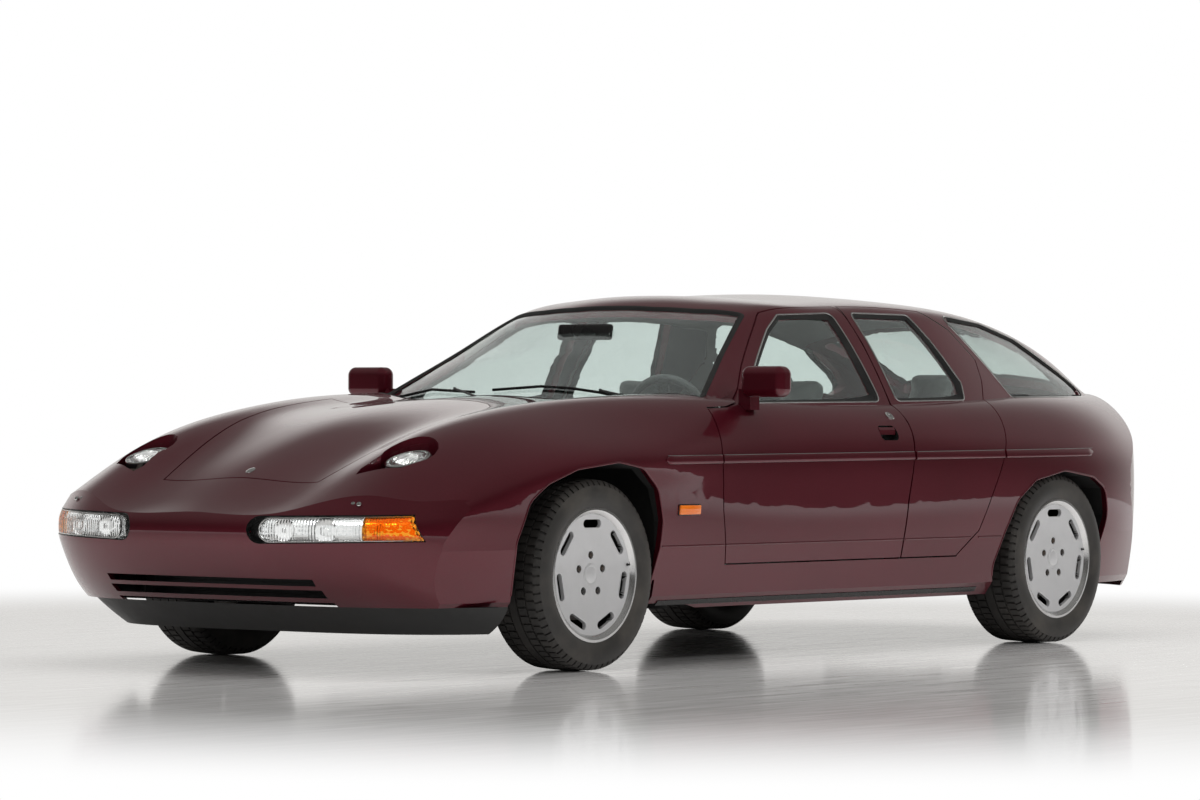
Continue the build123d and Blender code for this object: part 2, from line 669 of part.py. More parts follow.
def front_zone(outer, cavity, arch):
    """Bonnet, wings with the cowl ends, the front bumper and the lamps let into it."""
    parts = {}
    zone = cut_all(outer & box(690, 2500, -1100, 1100, 0, 1500), [cavity] + arch)
    parts["bonnet"] = zone & bonnet_prism()
    hinges = BONNET_HINGES + [(x0, x1, -y1, -y0, z0, z1) for x0, x1, y0, y1, z0, z1 in BONNET_HINGES]
    doors = opening(lambda gap: drafted_prism(FRONT_DOOR, gap), FRONT_DOOR_HINGES)
    cutters = opening(bonnet_prism, hinges) + doors + [
        mirrored(door) for door in doors
    ] + [screen_hole()]
    zone = cut_all(zone, cutters)
    nose = plan_prism(NOSE_SEAM, 100, 700)
    nose = nose + mirrored(nose) + box(1500, 2300, -1000, 1000, 100, BUMPER_SEAM_Z)
    bumper = (zone & nose) - box(CHIN_BACK, 2500, -1000, 1000, 0, CHIN_TOP)
    lights = lamp_slot(lamp_outline(LAMP_INNER - 46, LAMP_OUTER, 3.0))
    parts["front_bumper"] = cut_all(
        bumper, [box(2050, 2500, -half, half, low, high) for half, low, high in GRILLE] + [lights],
    )
    parts["front_wings"] = (zone - nose).cut(lamp_pocket(), mirrored(lamp_pocket()), lights)
    front = outer & box(1900, 2500, -1000, 1000, 300, 600)
    lens = (front & plan_block(4)).cut(plan_block(24))
    backing = (front & plan_block(24)).cut(plan_block(30))
    glass = lens & lamp_slot(lamp_outline(LAMP_INNER, LAMP_OUTER, 0.0))
    parts["front_lamps"] = glass & box(1900, 2500, -LAMP_SEAM, LAMP_SEAM, 0, 1000)
    parts["indicators"] = glass - box(1900, 2500, -LAMP_SEAM - 0.5, LAMP_SEAM + 0.5, 0, 1000)
    parts["lamp_housings"] = backing & lamp_slot(lamp_outline(LAMP_INNER - 46, LAMP_OUTER, 2.7))
    return parts


def lamp_outline(inner, outer, margin):
    """Front lamp unit across the nose, as (y, z): round at its inner end, slanted at its outer one."""
    middle, radius = (LAMP_LOW + LAMP_TOP) / 2, (LAMP_TOP - LAMP_LOW) / 2 + margin
    arc = [
        (inner + radius * (1 - math.sin(a)), middle + radius * math.cos(a))
        for a in (math.pi * i / 8 for i in range(9))
    ]
    return arc + [
        (outer + 14 + margin, LAMP_LOW + 11 - margin), (outer - 14 + margin, LAMP_TOP + 8 + margin),
    ]


def lamp_slot(outline):
    """Prism along X through the nose from a (y, z) outline, on both sides."""
    face = Face(Wire.make_polygon([(1900, y, z) for y, z in outline], close=True))
    left = Solid.extrude(face, Vector(600, 0, 0))
    return left.fuse(mirrored(left))


def bonnet_prism(gap=0.0):
    return plan_prism(grown(both(BONNET), gap), 480, 1000)


def valances():
    """Black chin under the front bumper."""
    def block(depth):
        outlines = [
            plan_outline(z, depth, width - depth)
            for z, width in ((CHIN_LOW, 815), (175, 860), (CHIN_TOP, 880))
        ]
        return Solid.make_loft(outlines)
    return (block(0.0) & box(CHIN_BACK, 2500, -1000, 1000, 100, 300)).cut(block(7.0))


def screen_hole(grow=0.0):
    return plan_prism(grown(both(SCREEN), grow), 800, 1400, rounding=20 + grow)


def rear_zone(outer, cavity, arch):
    """Roof, pillars, sills, quarters and tail as one welded shell, the tail insert and the hatch."""
    parts = {}
    half = cut_all(outer & box(-2500, 690, 0, 1100, 0, 1500), [cavity, screen_hole()])
    gate = (half & tailgate_prism()).cut(plan_prism(both(TAIL_GLASS), 860, 1400, rounding=30))
    parts["tailgate"] = gate + mirrored(gate)
    half = cut_all(half, opening(tailgate_prism, TAILGATE_HINGES))
    blocks = {
        "roof": box(-1700, 250, 0, 484, 1000, 1400),
        "rear_bumper": box(-2500, -2190, 0, 690, 100, 600),
        "tail_panel": box(-2500, -2190, 0, 640, 600, 1000),
    }
    for name, block in blocks.items():
        piece = half & block
        parts[name] = piece + mirrored(piece)
        half = cut_all(half, [block])
    tail = outer & box(-2500, -2190, -700, 700, 400, 800)
    recess = box(-2500, -2190, -262, 262, 472, 590) - plan_block(12)
    parts["rear_bumper"] = parts["rear_bumper"].cut(
        recess, *[box(-2500, -2180, y - 36, y + 36, 100, 252) for y in (-TAIL_PIPE_Y, TAIL_PIPE_Y)]
    )
    lamps = box(-2500, -2190, 330, 618, 628, 705)
    lamps = lamps.fillet(12, lamps.edges().filter_by(Axis.X))
    lamps = lamps + mirrored(lamps)
    parts["tail_panel"] = parts["tail_panel"].cut(lamps)
    parts["tail_lamps"] = (tail & plan_block(3) & lamps).cut(plan_block(SKIN))
    left_arch = [a for a in arch if a.center().Y > 0]
    cutters = [drafted_prism(FRONT_DOOR, PANEL_GAP)] + opening(
        lambda gap: drafted_prism(REAR_DOOR, gap), REAR_DOOR_HINGES,
    )
    half = cut_all(half, cutters + left_arch + [side_prism(QUARTER_GLASS, rounding=24)])
    parts["body_side_left"] = half
    parts["body_side_right"] = mirrored(half)
    return parts


def tailgate_prism(gap=0.0):
    return plan_prism(grown(both(TAILGATE), gap), 860, 1400)


# ---------------------------------------------------------------- headlamps


def lamp_plane(side=1):
    lean = math.radians(LAMP_LEAN)
    return Plane(
        (LAMP_X, side * LAMP_Y, LAMP_Z), x_dir=(math.cos(lean), 0, -math.sin(lean)),
        z_dir=(math.sin(lean), 0, math.cos(lean)),
    )


def pocket_outline(margin=0.0):
    """Plan of the lamp's well: round about the lamp, drawn out to a tip towards the nose."""
    radius = LAMP_R + 16 + margin
    turn = [math.radians(a) for a in range(60, 301, 20)]
    ring = [(LAMP_X + radius * math.cos(a), LAMP_Y + radius * math.sin(a)) for a in turn]
    tip = [
        (130 + margin, -96 - margin), (166 + margin, -84), (150 + margin, -40 + margin),
        (105 + margin, 53 + margin),
    ]
    return ring + [(LAMP_X + x, LAMP_Y + y) for x, y in tip]


def lamp_pocket():
    return plan_prism(pocket_outline(), 560, 820)


def lamp_well():
    """Tray under the lamp, hung from the underside of the wing, with the lamp's pivot pin."""
    inside = lower_body(RUNNING_GAP) & plan_block(SKIN + RUNNING_GAP) & box(
        1700, 2400, 200, 900, 500, 800,
    )
    tray = plan_prism(pocket_outline(3.0), WELL_FLOOR - 3, 820).cut(
        plan_prism(pocket_outline(), WELL_FLOOR, 820)
    )
    pin = rod((PIVOT_X, PIVOT_Y - 30, PIVOT_Z), (PIVOT_X, PIVOT_Y + 30, PIVOT_Z), 5)
    stand = box(PIVOT_X - 8, PIVOT_X + 8, PIVOT_Y + 18, PIVOT_Y + 30, WELL_FLOOR - 1, PIVOT_Z + 8)
    other = box(PIVOT_X - 8, PIVOT_X + 8, PIVOT_Y - 30, PIVOT_Y - 18, WELL_FLOOR - 1, PIVOT_Z + 8)
    return fused([tray & inside, stand, other, pin])


def headlamp():
    """Round lamp with a domed lens, and the arm that carries it on its pivot."""
    plane = lamp_plane()
    lens = Solid.make_sphere(
        LENS_R, plane.offset(LENS_BULGE - LENS_R),
    ) & Solid.make_cylinder(LAMP_R - 3, 60, plane.offset(-1))
    bowl = Solid.make_cylinder(LAMP_R, 22, plane.offset(-22)) + Solid.make_cone(
        LAMP_R * 0.5, LAMP_R, 40, plane.offset(-62),
    )
    arm = box(LAMP_X + 10, PIVOT_X, PIVOT_Y - 9, PIVOT_Y + 9, PIVOT_Z - 10, PIVOT_Z + 4)
    eye = Solid.make_cylinder(12, 34, Plane((PIVOT_X, PIVOT_Y - 17, PIVOT_Z), z_dir=(0, 1, 0)))
    bore = Solid.make_cylinder(
        5 + RUNNING_GAP, 60, Plane((PIVOT_X, PIVOT_Y - 30, PIVOT_Z), z_dir=(0, 1, 0)),
    )
    return fused([bowl, lens, arm, eye]) - bore


# ---------------------------------------------------------------- floor and running gear
def floor_pan():
    """Floor, tunnel, firewall, heel board, boot floor and side members, with four jacking pads."""
    slab = box(HEEL_X - 8, FIREWALL_X + 8, -900, 900, FLOOR_LOW, FLOOR_TOP)
    tunnel = box(HEEL_X, FIREWALL_X, -150, 150, FLOOR_TOP, TUNNEL_TOP)
    firewall = box(FIREWALL_X, FIREWALL_X + 8, -900, 900, FLOOR_TOP, 830)
    heel_board = box(HEEL_X - 8, HEEL_X, -900, 900, FLOOR_TOP, BOOT_TOP)
    boot = box(-2250, HEEL_X, -900, 900, BOOT_LOW, BOOT_TOP)
    pan = fused([slab, tunnel, firewall, heel_board, boot]) - box(-1300, 950, -140, 140, 180, 370)
    members = [box(-2180, -1244, side - 30, side + 30, 262, 428) for side in (-420, 420)]
    members += [box(904, 2010, side - 30, side + 30, 262, 330) for side in (-420, 420)]
    pan = fused([pan] + members) & (lower_body(1.0) & plan_block(SKIN + 1.0))
    pan = cut_all(pan, list(arches(thickness=LINER + RUNNING_GAP).solids()))
    pads = [Solid.make_cylinder(38, 20, Plane((x, y, 186))) for x, y in JACK_PADS]
    return fused([pan] + pads)


def knuckle(axle_x, track, radius):
    """Upright with its stub axle and steering arm."""
    y = track / 2
    post = box(axle_x - 36, axle_x + 36, y - 66, y - 18, radius - 95, radius + 110)
    post = post & Solid.make_cylinder(UPRIGHT_R, 400, Plane((axle_x, y, 150)))
    stub = disc_y(axle_x, y - 25, radius, 30, 2 * 59.7)
    arm = box(axle_x - 140, axle_x - 10, y - 58, y - 40, radius - 40, radius - 20)
    return post + stub + arm


def subframe(axle_x, track, radius, reach, strut_y, strut_r, strut_top):
    """Two cross members, four wishbone links, ball joints and spring struts of one axle."""
    joint_y = track / 2 - UPRIGHT_R - RUNNING_GAP - JOINT_R
    low = radius - 95
    pieces = [
        box(axle_x + at - 20, axle_x + at + 20, -MEMBER_Y - 10, MEMBER_Y + 10, 214, 262) for at in reach
    ]
    pieces.append(box(axle_x + reach[0], axle_x + reach[1], -40, 40, 214, 250))
    for side in (1, -1):
        for at in reach:
            pieces.append(rod((axle_x + at, side * MEMBER_Y, 238), (axle_x, side * joint_y, 234), 15))
        pieces.append(Solid.make_cylinder(JOINT_R, 60, Plane((axle_x, side * joint_y, low - 10))))
        pieces.append(box(axle_x - 75, axle_x + 60, side * strut_y - 18, side * strut_y + 18, 224, 248))
        pieces.append(rod((axle_x, side * strut_y, 236), (axle_x, side * strut_y, strut_top), strut_r))
    first, *others = pieces
    return first.fuse(*others)


def suspension():
    front = subframe(FRONT_AXLE_X, TRACK_FRONT, AXLE_Z_FRONT, (-150, 150), 590, 24, 675)
    rear = subframe(REAR_AXLE_X, TRACK_REAR, AXLE_Z_REAR, (-150, 100), 624, 18, 634)
    return Compound([front, rear])


def drivetrain():
    """Engine, torque tube and transaxle as plain blocks, and the radiator behind the grille."""
    engine = box(960, 1650, -330, 330, 262, 720)
    tube = rod((965, 0, 312), (-1300, 0, 312), 48)
    transaxle = box(-1640, -1290, -170, 170, 262, 410)
    radiator = box(2010, 2060, -450, 450, 240, 480)
    return Compound([fused([engine, tube, transaxle]), radiator])


def exhaust():
    """Two pipes under the car to a crosswise silencer and two tail pipes."""
    pieces = [disc_y(-2050, 0, 250, 75, 680)]
    for y in (-95, 95):
        pieces.append(rod((1020, y, 187), (-2030, y, 187), 25))
        pieces.append(rod((1000, y, 180), (1000, y, 262), 25))
    for y in (-TAIL_PIPE_Y, TAIL_PIPE_Y):
        pieces.append(rod((-2050, y, 214), (-2340, y, 214), 26))
    return fused(pieces)


# ---------------------------------------------------------------- cabin
def seat(x, y, base, width=430.0):
    cushion = box(x - 260, x + 250, y - width / 2, y + width / 2, base, base + 190)
    cushion = cushion.fillet(40, [e for e in cushion.edges() if e.center().Z > base + 100])
    back = box(x - 360, x - 230, y - width / 2 + 10, y + width / 2 - 10, base + 60, base + 640)
    back = back.rotate(Axis((x - 260, 0, base + 100), (0, 1, 0)), SEAT_LEAN)
    head = box(x - 345, x - 250, y - 130, y + 130, base + 600, base + 800)
    head = head.rotate(Axis((x - 260, 0, base + 100), (0, 1, 0)), SEAT_LEAN)
    plinth = box(x - 200, x + 190, y - 170, y + 170, FLOOR_TOP + RUNNING_GAP, base + 20)
    return fused([plinth, cushion, back, head])


def dashboard():
    top = box(560, FIREWALL_X - RUNNING_GAP, -760, 760, 560, 838)
    face = box(470, 600, -740, 740, 600, 760)
    console = box(-700, 600, -120, 120, TUNNEL_TOP + RUNNING_GAP, 520)
    wall = lower_body(40.0) + greenhouse(ROOF_SKIN + 2)
    column = rod((600, 370, 700), tuple(steering_plane().offset(-22.4).origin), 28)
    dash = fused([top, face]) & wall
    return fused([dash, console, column])


def steering_plane():
    return Plane(WHEEL_HUB, z_dir=(-270, 0, 78))


def steering_wheel():
    plane = steering_plane()
    rim = Solid.make_torus(185, 15, plane)
    hub = Solid.make_cylinder(58, 34, plane.offset(-22))
    flat = Plane(plane.origin, x_dir=plane.x_dir, z_dir=plane.z_dir).offset(-14)
    cross = [Rectangle(368, 44), Rectangle(44, 368)]
    bars = [Solid.extrude((flat * r).face(), flat.z_dir * 12) for r in cross]
    return fused([rim, hub] + bars)


def mirror(door):
    """Door mirror on its foot, trimmed to sit on the door."""
    housing = box(420, 500, 805, 985, 902, 1008)
    housing = housing.fillet(30, housing.edges())
    glass_well = box(400, 426, 822, 968, 916, 994)
    foot = box(425, 478, 745, 840, 858, 940) & drafted_prism(FRONT_DOOR, -1.0)
    neck = box(440, 478, 790, 840, 880, 930)
    return (fused([housing, foot, neck]) - glass_well).cut(door)


# Wipers, each as its pivot (x, y, height of its top) and its blade's points in plan
WIPERS = [
    ((760, 500, 912), [(702, 470), (698, 360), (697, 230), (700, 100), (722, -100)]),
    ((800, -100, 903), [(728, -180), (704, -290), (662, -430), (648, -640)]),
]


def screen_z(x, y):
    """Height of the windscreen's outer surface."""
    return ridge_z(x) - (ridge_z(x) - rail_z(x)) * (y / rail_y(x)) ** 2


def wipers(bases):
    """Two arms with their blades lying on the glass, their posts standing on the cowl and the scuttle."""
    made = []
    for (px, py, top), blade in WIPERS:
        points = [Vector(x, y, screen_z(x, y) + 1) for x, y in blade]
        wiper = Solid.make_cylinder(9, 31, Plane((px, py, top - 31)))
        arm = rod((px, py, top - 5), tuple(points[1] + Vector(0, 0, 8)), 4)
        strips = [rod(tuple(a), tuple(b), BLADE_R) for a, b in zip(points, points[1:])]
        knobs = [Solid.make_sphere(BLADE_R, Plane(tuple(p))) for p in points[1:-1]]
        grip = Solid.make_cylinder(5, 16, Plane(tuple(points[1] - Vector(0, 0, 3))))
        for piece in [arm, grip] + strips + knobs:
            wiper = wiper + piece
        made.append(wiper.cut(*bases))
    return Compound(made)


# ---------------------------------------------------------------- build
def build():
    outer, cavity = make_shell()
    arch = list(arches().solids())
    parts = {}
    parts.update(side_parts(outer, cavity, arch))
    parts.update(front_zone(outer, cavity, arch))
    parts.update(rear_zone(outer, cavity, arch))
    parts["tailgate_glass"] = glass_sheet(
        plan_prism(grown(both(TAIL_GLASS), -0.6), 860, 1400, rounding=29.5)
    )
    screen = glass_sheet(screen_hole(-0.6))
    doors = drafted_prism(FRONT_DOOR, PANEL_GAP)
    foot = plan_prism(both(SCUTTLE), 700, 1400)
    parts["windscreen"] = cut_all(screen, [doors, mirrored(doors), foot])
    parts["scuttle"] = screen & foot
    parts["quarter_windows"] = pair(
        glass_sheet(side_prism(grown(QUARTER_GLASS, -0.6), low=450, rounding=23.5))
    )
    parts["headlamp_left"] = headlamp()
    parts["headlamp_right"] = mirrored(parts["headlamp_left"])
    parts["headlamp_wells"] = pair(lamp_well())
    parts["wheelhouses"] = wheelhouses()
    parts["valance"] = valances()
    axles = (
        ("front", FRONT_AXLE_X, TRACK_FRONT, AXLE_Z_FRONT, TYRE_W_FRONT),
        ("rear", REAR_AXLE_X, TRACK_REAR, AXLE_Z_REAR, TYRE_W_REAR),
    )
    for axle, x, track, r, width in axles:
        made = {
            "tyre": tyre(x, track, r, width, RIM_R), "wheel": wheel(x, track, r, width, RIM_R),
            "brake_disc": brake_disc(x, track, r),
        }
        for name, solid in made.items():
            parts[f"{name}_{axle}_left"] = solid
            parts[f"{name}_{axle}_right"] = mirrored(solid)
    parts["front_knuckle_left"] = knuckle(FRONT_AXLE_X, TRACK_FRONT, AXLE_Z_FRONT)
    parts["front_knuckle_right"] = mirrored(parts["front_knuckle_left"])
    parts["rear_knuckles"] = pair(knuckle(REAR_AXLE_X, TRACK_REAR, AXLE_Z_REAR))
    parts["floor_pan"] = floor_pan()
    parts["suspension"] = suspension()
    parts["drivetrain"] = drivetrain()
    parts["exhaust"] = exhaust()
    parts["front_seats"] = pair(seat(*FRONT_SEAT))
    parts["rear_seats"] = pair(seat(*REAR_SEAT))
    parts["dashboard"] = dashboard()
    parts["steering_wheel"] = steering_wheel()
    parts["mirror_left"] = mirror(parts["front_door_left"])
    parts["mirror_right"] = mirrored(parts["mirror_left"])
    parts["wipers"] = wipers([parts["front_wings"], parts["scuttle"]])
    return parts


def save(parts):
    os.makedirs("parts", exist_ok=True)
    for name, shape in parts.items():
        solids = shape.solids()
        good = all(s.is_valid for s in solids)
        print(name, len(solids), [round(s.volume / 1e6, 2) for s in solids][:6], good, flush=True)
        export_step(Compound(solids) if len(solids) > 1 else solids[0], f"parts/{name}.step")


if __name__ == "__main__":
    save(build())
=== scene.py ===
"""Looks of a stretched four-door sports sedan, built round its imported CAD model."""

import json
import math

import bpy
import numpy as np
from bpy.props import FloatProperty, FloatVectorProperty, IntProperty, PointerProperty
from bpy.types import Operator, Panel, PropertyGroup
from mathutils import Matrix, Vector, geometry
from mathutils.bvhtree import BVHTree

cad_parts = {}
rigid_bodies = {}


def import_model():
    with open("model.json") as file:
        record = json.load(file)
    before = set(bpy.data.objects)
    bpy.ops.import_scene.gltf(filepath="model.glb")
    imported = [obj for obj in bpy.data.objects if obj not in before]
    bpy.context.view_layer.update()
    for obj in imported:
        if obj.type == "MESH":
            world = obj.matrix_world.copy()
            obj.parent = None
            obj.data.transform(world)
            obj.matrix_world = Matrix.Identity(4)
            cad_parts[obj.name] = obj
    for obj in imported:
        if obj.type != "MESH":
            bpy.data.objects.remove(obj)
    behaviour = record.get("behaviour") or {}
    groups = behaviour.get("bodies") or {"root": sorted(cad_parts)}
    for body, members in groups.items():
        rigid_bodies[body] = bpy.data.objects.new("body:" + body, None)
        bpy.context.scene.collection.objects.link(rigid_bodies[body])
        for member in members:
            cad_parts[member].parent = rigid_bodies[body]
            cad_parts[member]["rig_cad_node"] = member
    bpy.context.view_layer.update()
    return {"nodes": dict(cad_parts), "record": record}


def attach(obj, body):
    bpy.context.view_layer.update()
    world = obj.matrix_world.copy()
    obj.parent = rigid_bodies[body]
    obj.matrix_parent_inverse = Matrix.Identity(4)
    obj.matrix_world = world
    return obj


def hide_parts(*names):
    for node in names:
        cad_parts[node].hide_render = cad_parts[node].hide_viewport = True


bl_info = {
    "name": "Stretched Sports Sedan",
    "version": (1, 0, 0),
    "blender": (4, 5, 0),
    "location": "View3D > Sidebar > Sedan",
    "description": "Dresses the CAD frame of a four-door sports sedan",
    "category": "Object",
}

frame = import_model()
NODES = frame["nodes"]
BODY_OF = {node: body for body, members in frame["record"]["behaviour"]["bodies"].items() for node in members}
SIDES = (("left", 1), ("right", -1))


# ---------------- sizes a user may change
class SedanStage(PropertyGroup):
    lens: FloatProperty(name="Lens", description="Focal length of the camera", default=146.6, unit="CAMERA")
    softbox: FloatProperty(
        name="Overhead light", description="Power of the soft light overhead", default=150.0, min=0, unit="POWER",
    )
    side_light: FloatProperty(
        name="Side light", description="Power of the soft light at the car's left", default=170.0, min=0,
        unit="POWER",
    )
    ambient: FloatProperty(name="Ambient", description="Plain light from all round", default=0.55, min=0)


class SedanPaint(PropertyGroup):
    colour: FloatVectorProperty(
        name="Paint", description="Base colour of the body paint", subtype="COLOR", min=0, max=1,
        default=(0.102, 0.003, 0.012),
    )
    flake: FloatVectorProperty(
        name="Flake", description="Colour of the metal flakes in the paint", subtype="COLOR", min=0, max=1,
        default=(0.190, 0.010, 0.030),
    )
    gloss: FloatProperty(
        name="Lacquer roughness", description="Roughness of the clear lacquer", default=0.02, min=0, max=1,
    )


class SedanWheels(PropertyGroup):
    pitches: IntProperty(name="Tread pitches", description="Tread blocks round a tyre", default=66, min=30, max=90)
    tread: FloatProperty(
        name="Tread depth", description="Depth of the tread grooves", default=0.006, min=0.001, max=0.009,
        unit="LENGTH",
    )
    silver: FloatVectorProperty(
        name="Wheel paint", description="Silver of the wheels", subtype="COLOR", min=0, max=1,
        default=(0.72, 0.72, 0.73),
    )


class SedanTrim(PropertyGroup):
    bead: FloatProperty(
        name="Bright trim", description="Width of the bright trim round the side windows", default=0.006, min=0.002,
        max=0.01, unit="LENGTH",
    )
    strip_height: FloatProperty(
        name="Rub strip height", description="Height of the rubbing strip on the doors", default=0.030, min=0.01,
        max=0.05, unit="LENGTH",
    )
    strip_proud: FloatProperty(
        name="Rub strip thickness", description="How far the rubbing strip stands out", default=0.006, min=0.002,
        max=0.01, unit="LENGTH",
    )


class SedanCabin(PropertyGroup):
    leather: FloatVectorProperty(
        name="Leather", description="Colour of the seats", subtype="COLOR", min=0, max=1,
        default=(0.085, 0.095, 0.09),
    )
    voxel: FloatProperty(
        name="Seat voxel", description="Mesh size of the seat pads before they are blown up", default=0.012,
        min=0.006, max=0.03, unit="LENGTH",
    )
    pressure: FloatProperty(name="Padding", description="Pressure that swells the seat pads", default=4.0, min=0)
    groove: FloatProperty(
        name="Channel depth", description="Depth of the sewn channels of the seats", default=0.007, min=0,
        unit="LENGTH",
    )


# ---------------- body surface
# The outer skin as smooth guide curves in millimetres. Paint takes its normals from it and trim lies on it.
def guide(*points):
    """A natural cubic spline through (x, value) points."""
    xs = [p[0] for p in points]
    ys = [p[1] for p in points]
    n = len(xs)
    h = [xs[i + 1] - xs[i] for i in range(n - 1)]
    diag, right, above = [1.0] * n, [0.0] * n, [0.0] * n
    below = [0.0] * n
    for i in range(1, n - 1):
        below[i], diag[i], above[i] = h[i - 1], 2 * (h[i - 1] + h[i]), h[i]
        right[i] = 6 * ((ys[i + 1] - ys[i]) / h[i] - (ys[i] - ys[i - 1]) / h[i - 1])
    for i in range(1, n):
        w = below[i] / diag[i - 1]
        diag[i] -= w * above[i - 1]
        right[i] -= w * right[i - 1]
    m = [0.0] * n
    for i in range(n - 1, -1, -1):
        after = above[i] * m[i + 1] if i < n - 1 else 0.0
        m[i] = (right[i] - after) / diag[i]

    def at(x):
        x = min(max(x, xs[0]), xs[-1])
        i = max(k for k in range(n - 1) if xs[k] <= x)
        a, b = xs[i + 1] - x, x - xs[i]
        return (
            (m[i] * a**3 + m[i + 1] * b**3) / (6 * h[i])
            + (ys[i] / h[i] - m[i] * h[i] / 6) * a
            + (ys[i + 1] / h[i] - m[i + 1] * h[i] / 6) * b
        )

    return at


crease_y = guide(
    (-2450, 640), (-2200, 740), (-1900, 835), (-1375, 885), (-700, 890), (700, 890), (1375, 893), (1850, 872),
    (2165, 812), (2450, 740),
)
waist_y = guide(
    (-2450, 690), (-2200, 770), (-1900, 860), (-1375, 908), (-700, 908), (700, 906), (1375, 914), (1700, 900),
    (1950, 872), (2165, 832), (2450, 760),
)
waist_z = guide((-2450, 560), (-1375, 590), (0, 580), (1375, 600), (1800, 560), (2165, 490), (2450, 432))
flank_y = guide(
    (-2450, 640), (-2200, 725), (-1900, 815), (-1375, 872), (-700, 888), (0, 888), (700, 888), (1375, 885),
    (1650, 862), (1864, 828), (2000, 805), (2165, 775), (2450, 720),
)
flank_z = guide(
    (-2450, 740), (-1900, 765), (-1375, 770), (0, 765), (700, 755), (1375, 735), (1650, 703), (1864, 655),
    (2000, 610), (2165, 545), (2450, 455),
)
shoulder_y = guide(
    (-2450, 500), (-2200, 600), (-1900, 690), (-1375, 765), (-700, 800), (0, 806), (700, 800), (1000, 770),
    (1375, 715), (1650, 695), (1864, 670), (2000, 662), (2165, 660), (2450, 620),
)
shoulder_z = guide(
    (-2450, 870), (-1900, 882), (-1375, 880), (-700, 868), (0, 864), (700, 864), (1000, 857), (1375, 832),
    (1650, 793), (1864, 740), (2000, 686), (2165, 602), (2450, 474),
)
crown_y = guide((-2450, 280), (-1375, 430), (0, 470), (700, 470), (1375, 440), (1864, 380), (2165, 360), (2450, 330))
crown_z = guide(
    (-2450, 905), (-1900, 920), (-1375, 915), (0, 900), (700, 897), (1000, 885), (1340, 858), (1646, 805),
    (1802, 758), (1967, 695), (2150, 613), (2300, 542), (2450, 484),
)
spine_z = guide(
    (-2450, 912), (-1900, 930), (-1375, 925), (0, 910), (700, 908), (1000, 898), (1340, 872), (1646, 818),
    (1802, 770), (1967, 705), (2150, 619), (2300, 546), (2450, 488),
)
sill_y = guide(
    (-2450, 600), (-2200, 700), (-1900, 790), (-1375, 850), (700, 852), (1375, 850), (1850, 820), (2165, 760),
    (2450, 700),
)
CREASE_Z = 405.0
SILL_Z = 236.0
FLOOR_Z = 190.0

# Greenhouse
belt_y = guide(
    (-2500, 440), (-2330, 490), (-2200, 545), (-2000, 610), (-1700, 668), (-1366, 712), (-1000, 748), (-500, 770),
    (0, 776), (433, 768), (603, 758), (900, 735), (1150, 715),
)
rail_y = guide(
    (-2500, 390), (-2230, 448), (-1980, 480), (-1618, 500), (-1300, 525), (-1000, 548), (-600, 562), (-200, 560),
    (62, 537), (300, 628), (603, 758), (900, 800), (1150, 815),
)
rail_z = guide(
    (-2500, 800), (-2230, 925), (-1980, 1042), (-1618, 1156), (-1300, 1208), (-1000, 1228), (-600, 1234),
    (-200, 1226), (62, 1204), (300, 1066), (603, 884), (900, 700), (1150, 560),
)
ridge_z = guide(
    (-2500, 848), (-2330, 945), (-2150, 1040), (-1950, 1126), (-1650, 1217), (-1300, 1264), (-900, 1283),
    (-500, 1283), (-150, 1269), (150, 1238), (300, 1162), (450, 1080), (603, 993), (775, 895), (900, 824),
    (1150, 680),
)
BELT_Z = 885.0
TUCK_Z = 850.0

# Plan outlines of nose and tail by height
nose_x = guide(
    (100, 2060), (160, 2120), (223, 2209), (308, 2304), (390, 2360), (430, 2380), (467, 2385), (500, 2377),
    (530, 2350), (560, 2318), (600, 2285), (700, 2210), (1000, 2050),
)
tail_x = guide(
    (100, -2290), (200, -2325), (300, -2350), (400, -2370), (500, -2382), (600, -2385), (700, -2376), (800, -2352),
    (900, -2310), (1000, -2240),
)
FRONT_AXLE_X, REAR_AXLE_X = 1375.0, -1375.0
PLAN_HALF_WIDTH, NOSE_POWER, TAIL_POWER = 925.0, 3.5, 2.7
ROW_STEP = 20.0       # spacing of the surface's rows
ACROSS = np.linspace(0, 0.53, 72)


def fractions(points):
    """Chord-length parameters of a row of points, from 0 to 1."""
    steps = np.linalg.norm(np.diff(np.asarray(points, float), axis=0), axis=1)
    return np.concatenate([[0.0], np.cumsum(steps)]) / steps.sum()


def start_slope(knots):
    """Weights of the first four values in the slope of the cubic through them, at the first."""
    weights = [sum(1 / (knots[0] - k) for k in knots[1:])]
    for j in range(1, 4):
        others = [knots[k] for k in range(4) if k != j]
        top = math.prod(knots[0] - k for k in others[1:])
        weights.append(top / math.prod(knots[j] - k for k in others))
    return np.array(weights)


